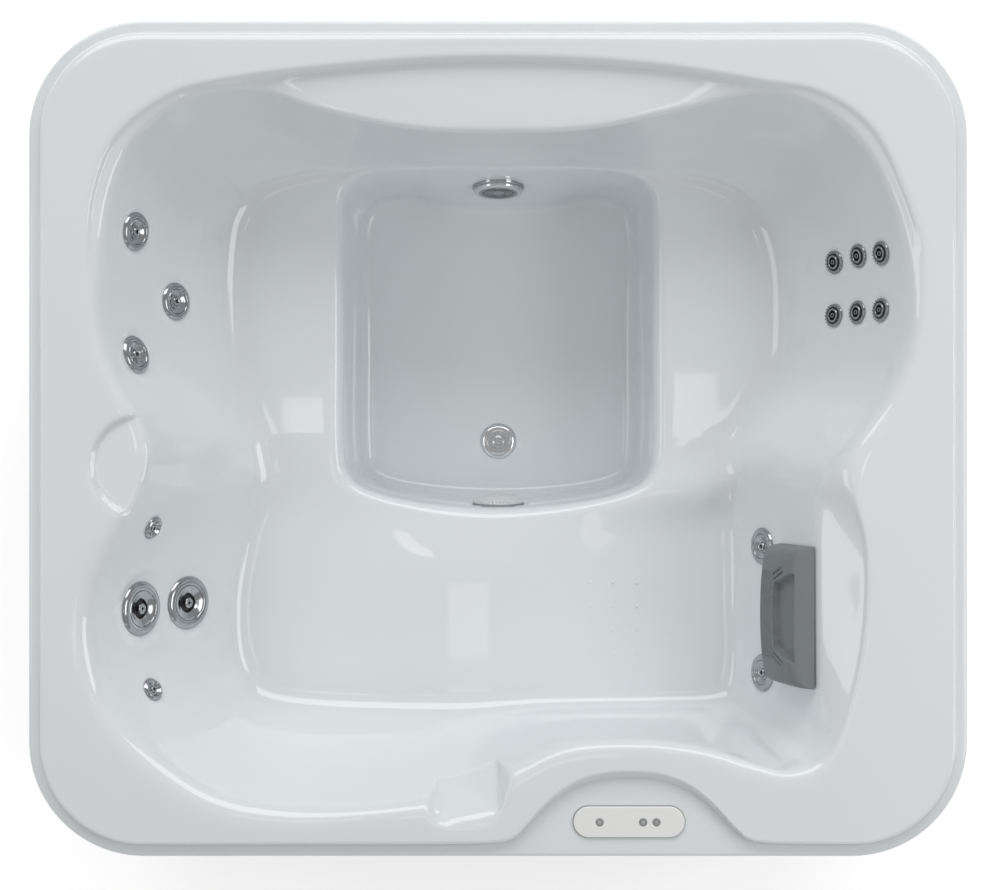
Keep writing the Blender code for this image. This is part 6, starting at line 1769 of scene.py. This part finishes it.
class HOTTUB_OT_pump(bpy.types.Operator):
    """Make the pump: ribbed wet end with its union, finned motor on its foot, and the rotor"""

    bl_idname = "hottub.pump"
    bl_label = "Pump"

    def execute(self, context):
        settle(joined("wet_end_ribbed", self.wet_end()), ROOT, "dark_plastic", "pump_wet_end")
        settle(joined("motor_finned", self.motor() + self.foot()), ROOT, "steel", "pump_motor")
        settle(joined("rotor_with_vanes", self.rotor()), "pump_rotor", "steel", "pump_rotor")
        return {"FINISHED"}

    def wet_end(self):
        """The volute with its union nut and its ring of bolts."""
        radius, length, port, end = VOLUTE_RADIUS, VOLUTE_LENGTH, PORT_RADIUS, VOLUTE_LENGTH + PORT_LENGTH
        inner, bore, hole = radius - VOLUTE_WALL, port - PORT_WALL, SHAFT_RADIUS + SHAFT_CLEARANCE
        volute = lathe("volute", [
            (bore, end), *near(port, end, (-0.004, 0), (-0.003, -0.001)),
            *near(port, length, (-0.003, 0.016), (0.002, 0.008), (0.012, 0.002)),
            *near(radius, length, (-0.018, -0.001), (-0.006, -0.006), (-0.003, -0.014)),
            *near(radius, 0, (-0.003, 0.016), (0, 0.014), (0, 0.002), (-0.002, 0)), (hole, 0),
            (hole, VOLUTE_WALL), (inner, VOLUTE_WALL), (inner, length - VOLUTE_WALL),
            (bore, length - VOLUTE_WALL),
        ], PUMP_PLACING, dark_plastic())
        nut = lathe("nut", near(port, end, (-0.004, -0.003), (-0.001, -0.003), (0, -0.006), (0, -0.026),
                                (-0.001, -0.028), (-0.004, -0.028)), PUMP_PLACING, dark_plastic())
        grips = ring_of("grips", rib((0.006, 0.005, 0.026)), PUMP_PLACING, dark_plastic(), 16, port - 0.001,
                        end - 0.0155)
        bolts = ring_of("bolts", bolt_head(0.0055, 0.004), PUMP_PLACING, steel(), 8, radius - 0.009, 0.014)
        return [volute, nut, grips, bolts]

    def motor(self):
        """The motor's can with its fins, and dark bars of painted shade for the vents in its end."""
        outer, wall, back = MOTOR_RADIUS, MOTOR_WALL, -MOTOR_LENGTH
        can = outer - 0.006
        shell = lathe("can", [
            (0, back + wall), (can - wall, back + wall), (can - wall, -FIT_GAP), (outer - 0.002, -FIT_GAP),
            (outer, -0.002), (outer, -0.016), (can, -0.018), (can, back + 0.052),
            *near(outer, back, (-0.001, 0.05), (0, 0.046), (0, 0.012), (-0.004, 0.004), (-0.012, 0)),
            (0, back),
        ], PUMP_PLACING, motor_paint())
        fins = ring_of("fins", rib((0.013, 0.0022, MOTOR_LENGTH - 0.07)), PUMP_PLACING, motor_paint(), 40,
                       can - 0.0005, -(MOTOR_LENGTH - 0.034) / 2)
        # Dark bars standing for the vent slots: painted shade.
        vents = ring_of("vents", rib((0.03, 0.004, 0.003)), PUMP_PLACING, seal_and_shade_black(), 18, can * 0.55,
                        back)
        return [shell, fins, vents]

    def foot(self):
        """The motor's steel foot with its saddle and its bolts."""
        low, high, half = PAN_TOP, PUMP_HEIGHT - MOTOR_RADIUS + MOTOR_WALL / 2, FOOT_WIDTH / 2
        start, end = MOTOR_WALL, MOTOR_WALL + FOOT_LENGTH
        parts = [bar(name, (x0, PUMP_Y - y, low), (x1, PUMP_Y + y, top), mat, edge)
                 for name, x0, x1, y, top, mat, edge in (
                     ("plate", start, end, half, low + 0.006, steel(), 0.0015),
                     ("web", start + 0.01, start + 0.018, half * 0.72, high, steel(), 0.0015),
                     ("web", end - 0.018, end - 0.01, half * 0.72, high, steel(), 0.0015),
                     ("saddle", start, end, half * 0.5, high, motor_paint(), 0.003))]
        corners = [(start + 0.028 + i * (FOOT_LENGTH - 0.056), PUMP_Y + s * half * 0.84, low + 0.006)
                   for i in (0, 1) for s in (-1, 1)]
        return parts + [copies_at("foot_bolts", bolt_head(0.007, 0.005), corners, steel())]

    def rotor(self):
        """The shaft with its rotor, and the impeller with its vanes."""
        wheel, radius, width = VOLUTE_WALL + SHAFT_CLEARANCE, IMPELLER_RADIUS, IMPELLER_WIDTH
        first = -(MOTOR_LENGTH - ROTOR_LENGTH) / 2
        last, tip = first - ROTOR_LENGTH, MOTOR_WALL + FIT_GAP - MOTOR_LENGTH
        spindle = lathe("spindle", [
            (0, wheel + width), (radius * 0.22, wheel + width), (radius * 0.26, wheel + width * 0.3),
            (radius, wheel + SHAFT_RADIUS * 0.45), (radius, wheel), (SHAFT_RADIUS, wheel),
            (SHAFT_RADIUS, first), *near(ROTOR_RADIUS, first, (-0.002, 0), (0, -0.004)),
            *near(ROTOR_RADIUS, last, (0, 0.004), (-0.002, 0)), (SHAFT_RADIUS, last), (SHAFT_RADIUS, tip),
            (0, tip),
        ], PUMP_PLACING, steel())
        vanes = ring_of("vanes", rib((radius * 0.78, 0.004, 0.016)), PUMP_PLACING, dark_plastic(), 7,
                        radius * 0.56, wheel + 0.009)
        return [spindle, vanes]


class HOTTUB_OT_heater(bpy.types.Operator):
    """Make the heater tube with its unions, stub and terminal cover"""

    bl_idname = "hottub.heater"
    bl_label = "Heater"

    def execute(self, context):
        tube = facing((HEATER_START, PUMP_Y, HEATER_HEIGHT), (1, 0, 0))
        r, length, top = HEATER_RADIUS, HEATER_LENGTH, HEATER_HEIGHT + HEATER_RADIUS + 0.008
        body = lathe("tube", [
            (0, length),
            *near(r, length, (-0.002, 0), (0, -0.003), (0, -0.03), (-0.003, -0.032)),
            *near(r, 0, (-0.003, 0.034), (0, 0.032), (0, 0.003), (-0.002, 0)), (0, 0),
        ], tube, steel())
        grips = [ring_of("grips", rib((0.005, 0.0048, 0.026)), tube, dark_plastic(), 14, r - 0.001, z)
                 for z in (0.0175, length - 0.0165)]
        low, inner = PUMP_HEIGHT + VOLUTE_RADIUS + FIT_GAP, PORT_RADIUS / 2
        rise, under = HEATER_HEIGHT - low, Matrix.Translation((-VOLUTE_LENGTH / 2, PUMP_Y, low))
        stub = lathe("stub", [(0, rise), (inner, rise), (inner, 0.004), (inner - 0.001, 0), (0, 0)], under,
                     steel())
        cover = bar("cover", (HEATER_START + length * 0.35, PUMP_Y - 0.02, HEATER_HEIGHT + r * 0.5),
                    (HEATER_START + length * 0.65, PUMP_Y + 0.02, top), dark_plastic(), 0.003)
        places = [(HEATER_START + length * share, PUMP_Y, top) for share in (0.38, 0.62)]
        screws = copies_at("cover_screws", screw_head(0.004, 0.0015), places, steel())
        settle(joined("heater_with_unions", [body, *grips, stub, cover, screws]), ROOT, "steel",
               "heater_tube")
        return {"FINISHED"}


class HOTTUB_OT_filter(bpy.types.Operator):
    """Make the in-line filter: ribbed canister, grip lid and pleated cartridge"""

    bl_idname = "hottub.filter"
    bl_label = "Filter"

    def execute(self, context):
        radius, height, bore = FILTER_RADIUS, FILTER_HEIGHT, FILTER_RADIUS - FILTER_WALL
        can = lathe("can", [
            (0, FILTER_WALL), (bore, FILTER_WALL), (bore, height),
            *near(radius, height, (0, 0), (0, -0.018), (-0.003, -0.02)),
            *ringed(radius, 0.02, height - 0.03, 6, 0.003),
            *near(radius, 0, (-0.003, 0.014), (0, 0.012), (0, 0.002), (-0.002, 0)), (0, 0),
        ], FILTER_PLACING, dark_plastic())
        settle(can, ROOT, "dark_plastic", "filter_canister")
        settle(joined("filter_lid_gripped", self.lid(radius, height, bore)), "filter_lid", "dark_plastic",
               "filter_lid")
        settle(joined("cartridge_pleated", self.cartridge(FILTER_WALL + FIT_GAP, height - LID_HEIGHT)), ROOT,
               "filter_paper", "filter_cartridge")
        return {"FINISHED"}

    def lid(self, radius, height, bore):
        """The screw lid: its plug in the bore, grips round its edge and a cross handle."""
        plug = bore * math.cos(math.pi / 24) - TURN_GAP
        base, top, deep = height + FIT_GAP, height + LID_HEIGHT, height - LID_HEIGHT + FIT_GAP
        lid = lathe("lid", [
            *shares_of(radius, (0, top), (0.3, top), (0.34, top - 0.004), (0.72, top - 0.005),
                       (0.78, top - 0.001)),
            *near(radius, top, (-0.006, -0.001), (-0.003, -0.004)),
            *near(radius, base, (-0.003, 0.002), (-0.004, 0)), (plug, base), (plug, deep), (0, deep),
        ], FILTER_PLACING, dark_plastic())
        grips = ring_of("grips", rib((0.006, 0.007, LID_HEIGHT - 0.004)), FILTER_PLACING, dark_plastic(), 30,
                        radius - 0.003, height + LID_HEIGHT / 2)
        handle = ring_of("handle", rib((radius * 0.44, 0.007, 0.01)), FILTER_PLACING, dark_plastic(), 4,
                         radius * 0.52, top - 0.004)
        return [lid, grips, handle]

    def cartridge(self, low, high):
        """The paper cartridge: pleats round a core, between two end caps."""
        radius, bore = CARTRIDGE_RADIUS, CARTRIDGE_BORE
        caps = [lathe("cap", [(bore, z + 0.008), (radius, z + 0.008), (radius, z), (bore, z)], FILTER_PLACING,
                      grey_plastic()) for z in (low, high - 0.008)]
        core = lathe("core", [(bore, high), (bore + 0.012, high), (bore + 0.012, low), (bore, low)],
                     FILTER_PLACING, filter_paper())
        depth = radius - bore - 0.01
        pleat = bar("pleat", (-depth / 2, -0.0016, low + 0.002), (depth / 2, 0.0016, high - 0.002),
                    filter_paper(), 0.0006, 1)
        pleats = ring_of("pleats", pleat, FILTER_PLACING, filter_paper(), 60, radius - depth / 2 - 0.001)
        return [*caps, core, pleats]


class HOTTUB_OT_control_box(bpy.types.Operator):
    """Make the control box with its lid, glands and screws, and the drain valve with its cap"""

    bl_idname = "hottub.control_box"
    bl_label = "Control box and drain"

    def execute(self, context):
        settle(joined("control_box_lidded", self.box()), ROOT, "grey_plastic", "control_box")
        outlet = facing((DRAIN_X, DRAIN_Y, PAN_TOP + DRAIN_RADIUS), (0, -1, 0))
        spigot = DRAIN_RADIUS * JET_HOLE_SHARE
        settle(joined("drain_valve_body", self.valve(outlet, spigot, DRAIN_LENGTH / 2)), ROOT, "dark_plastic",
               "drain_valve")
        settle(joined("drain_cap_knurled", self.cap(outlet, spigot + TURN_GAP, DRAIN_LENGTH / 2)),
               "drain_cap", "dark_plastic", "drain_cap")
        return {"FINISHED"}

    def box(self):
        """The control box: body, seal, lid, the lid's screws and a row of cable glands."""
        half_x, half_y, top = BOX_LENGTH / 2, BOX_WIDTH / 2, PAN_TOP + BOX_HEIGHT
        front, left, right = BOX_Y - half_y, BOX_X - half_x, BOX_X + half_x
        body = bar("box", (left, front + 0.03, PAN_TOP), (right, BOX_Y + half_y, top), grey_plastic(), 0.006)
        seal = bar("seal", (left + 0.003, front + 0.026, PAN_TOP + 0.003),
                   (right - 0.003, front + 0.032, top - 0.003), seal_and_shade_black(), 0.001)
        lid = bar("lid", (left, front, PAN_TOP), (right, front + 0.027, top), grey_plastic(), 0.006)
        upright = Matrix.Translation((0, front, 0)) @ Matrix.Rotation(math.pi / 2, 4, "X")
        spots = (PAN_TOP + 0.014, top - 0.014)
        places = [(BOX_X + s * (half_x - 0.014), z, 0) for s in (-1, 1) for z in spots]
        screws = copies_at("lid_screws", screw_head(0.005, 0.0014), places, steel(), upright)
        gland = lathe("gland", [(0, 0.012), (0.005, 0.012), (0.0065, 0.009), (0.009, 0.008), (0.009, 0.001),
                                (0.009, -0.004), (0, -0.004)], Matrix(), dark_plastic(), steps=12)
        glands = row_of("glands", gland, dark_plastic(), 5, (BOX_X - 0.08, BOX_Y + 0.012, top - 0.002),
                        (0.04, 0, 0))
        return [body, seal, lid, screws, glands]

    def valve(self, outlet, spigot, end):
        """The drain valve's body and its foot."""
        r, back = DRAIN_RADIUS, -DRAIN_LENGTH
        body = lathe("valve", [
            (0, end), (spigot - 0.001, end), (spigot, end - 0.001), (spigot, 0.002), (r * 0.95, 0.001),
            (r, -0.002), (r, -0.012), (r * 0.86, -0.015), (r * 0.86, back + 0.014), (r, back + 0.012),
            (r, back), (0, back),
        ], outlet, dark_plastic())
        foot = bar("foot", (DRAIN_X - r, DRAIN_Y + 0.016, PAN_TOP),
                   (DRAIN_X + r, DRAIN_Y + DRAIN_LENGTH - 0.016, PAN_TOP + r * 0.8), dark_plastic(), 0.003)
        return [body, foot]

    def cap(self, outlet, bore, end):
        """The drain's cap with its knurls."""
        r, wall = DRAIN_RADIUS, SHELL_WALL
        cap = lathe("cap", [
            (0, end + FIT_GAP), (bore, end + FIT_GAP), (bore, wall),
            *near(r, wall, (-0.002, 0), (-0.0015, 0.001)),
            *near(r, end + wall, (-0.0015, -0.003), (-0.004, 0)), (0, end + wall),
        ], outlet, dark_plastic())
        knurls = ring_of("knurls", rib((0.0036, 0.0036, end - 0.008)), outlet, dark_plastic(), 24, r - 0.0018,
                         (end + 2 * wall) / 2)
        return [cap, knurls]


class HOTTUB_OT_pipes(bpy.types.Operator):
    """Run the suction pipe to the filter and the pressure pipe to the jets' manifold"""

    bl_idname = "hottub.pipes"
    bl_label = "Pipes"

    def execute(self, context):
        settle(joined("suction_pipe_run", self.suction()), ROOT, "grey_plastic", "suction_pipe")
        settle(joined("pressure_pipe_run", self.pressure()), ROOT, "grey_plastic", "pressure_pipe")
        return {"FINISHED"}

    def suction(self):
        """The pipe from the suction fitting round the footwell to the filter."""
        inward = SUCTION_PLACING.to_3x3() @ Vector((0, 0, 1))
        start = SUCTION_PLACING.translation - inward * (JET_BODY_DEPTH + FIT_GAP)
        r, low, end = PIPE_RADIUS, PUMP_HEIGHT, FILTER_PLACING.translation.x - FILTER_RADIUS
        beside, behind = -FOOTWELL_TOP_HALF_LENGTH - 4 * r, start.y + 3 * r
        route = [
            start, start - inward * r, (-2 * r, behind, SUCTION_HEIGHT), (beside / 2, behind, low),
            (beside, start.y, low), (beside, -FOOTWELL_Y, low), (beside + r, PUMP_Y + r, low),
            (end - 2 * r, PUMP_Y, low), (end - PIPE_END_GAP, PUMP_Y, low),
        ]
        run = pipe("suction_run", route, r, r * 1.4, pvc())
        return [run, self.coupling(facing(route[-1], Vector((-1, 0, 0)))),
                self.coupling(facing(start, -inward))]

    def pressure(self):
        """The pipe from the heater to the jets' manifold, with its row of outlets."""
        r, z, first = PIPE_RADIUS, HEATER_HEIGHT, HEATER_START + HEATER_LENGTH + FIT_GAP
        side = HALF_LENGTH - RAIL_INSET - RAIL_WIDTH - 2 * r
        route = [(first, PUMP_Y, z), (first + 2 * r, PUMP_Y, z), (side - 4 * r, PUMP_Y + 2 * r, z),
                 (side, PUMP_Y / 2, z), (side, 2 * FOOTWELL_Y, z)]
        run = pipe("pressure_run", route, r, r * 1.4, pvc())
        stub = lathe("outlet", [(0, 0.018), (0.008, 0.018), (0.01, 0.014), (0.01, 0.01), (0.011, 0.008),
                                (0.011, -0.01), (0, -0.01)], Matrix(), pvc(), steps=20)
        outlets = row_of("outlets", stub, pvc(), 6, (side, -0.02, z + r), (0, 0.07, 0))
        return [run, outlets, self.coupling(facing(route[0], Vector((1, 0, 0))))]

    def coupling(self, placing):
        """A pushed-on coupling at the end of a pipe."""
        profile = near(PIPE_RADIUS, 0, (-0.001, 0.034), (0.002, 0.034), (0.003, 0.032), (0.003, 0.003),
                       (0.002, 0.001), (-0.001, 0.001))
        return lathe("coupling", profile, placing, pvc(), steps=32)


class HOTTUB_OT_stage(bpy.types.Operator):
    """Set the pale floor, the soft lights and the camera straight over the tub"""

    bl_idname = "hottub.stage"
    bl_label = "Stage"

    def execute(self, context):
        scene = context.scene
        corners = [(sx * FLOOR_HALF, sy * FLOOR_HALF, -FLOOR_DROP)
                   for sx, sy in ((-1, -1), (1, -1), (1, 1), (-1, 1))]
        mesh = grid_mesh("studio_floor", corners, [(0, 1, 2, 3)])
        put("studio_floor", mesh, floor_finish())
        scene.world = bpy.data.worlds.new("studio")
        scene.world.use_nodes = True
        sky = scene.world.node_tree.nodes["Background"].inputs
        sky["Color"].default_value = (1, 1, 1, 1)
        sky["Strength"].default_value = WORLD_LIGHT
        for name, values in SOFT_BOXES.items():
            soft_box(name, *values)
        data = bpy.data.cameras.new("photo_camera")
        data.lens, data.sensor_width = settings().lens, SENSOR_WIDTH
        scene.camera = bpy.data.objects.new("photo_camera", data)
        scene.camera.location = (*CAMERA_PLACE, RIM_HEIGHT + settings().camera_height)
        scene.collection.objects.link(scene.camera)
        scene.view_settings.view_transform = "Standard"
        return {"FINISHED"}


def soft_box(name, location, aim, width, height, power):
    """An area light that faces its aim."""
    data = bpy.data.lights.new(name, "AREA")
    data.shape = "RECTANGLE"
    data.size, data.size_y = width, height
    data.energy = power
    obj = bpy.data.objects.new(name, data)
    obj.matrix_world = facing(Vector(location), Vector(location) - Vector(aim))
    bpy.context.scene.collection.objects.link(obj)
    return obj


class HOTTUB_PT_panel(bpy.types.Panel):
    """Lists the hot tub's pieces"""

    bl_label = "Hot tub"
    bl_idname = "HOTTUB_PT_panel"
    bl_space_type = "VIEW_3D"
    bl_region_type = "UI"
    bl_category = "Hot tub"

    def draw(self, context):
        column = self.layout.column()
        for name in HotTubSettings.__annotations__:
            column.prop(context.scene.hot_tub, name)
        for maker in MAKERS:
            column.operator(maker.bl_idname)


MAKERS = [
    HOTTUB_OT_stage, HOTTUB_OT_shell, HOTTUB_OT_turning_jets, HOTTUB_OT_fixed_jets, HOTTUB_OT_suction,
    HOTTUB_OT_floor_fitting, HOTTUB_OT_light, HOTTUB_OT_controls, HOTTUB_OT_pillow, HOTTUB_OT_grip_dots,
    HOTTUB_OT_panels, HOTTUB_OT_posts, HOTTUB_OT_frame_parts, HOTTUB_OT_pump, HOTTUB_OT_heater,
    HOTTUB_OT_filter, HOTTUB_OT_control_box, HOTTUB_OT_pipes,
]


def register():
    for cls in [HotTubSettings, *MAKERS, HOTTUB_PT_panel]:
        bpy.utils.register_class(cls)
    bpy.types.Scene.hot_tub = PointerProperty(type=HotTubSettings)


def unregister():
    del bpy.types.Scene.hot_tub
    for cls in reversed([HotTubSettings, *MAKERS, HOTTUB_PT_panel]):
        bpy.utils.unregister_class(cls)


def main():
    register()
    for maker in MAKERS:
        group, name = maker.bl_idname.split(".")
        getattr(getattr(bpy.ops, group), name)()


if __name__ == "__main__":
    main()
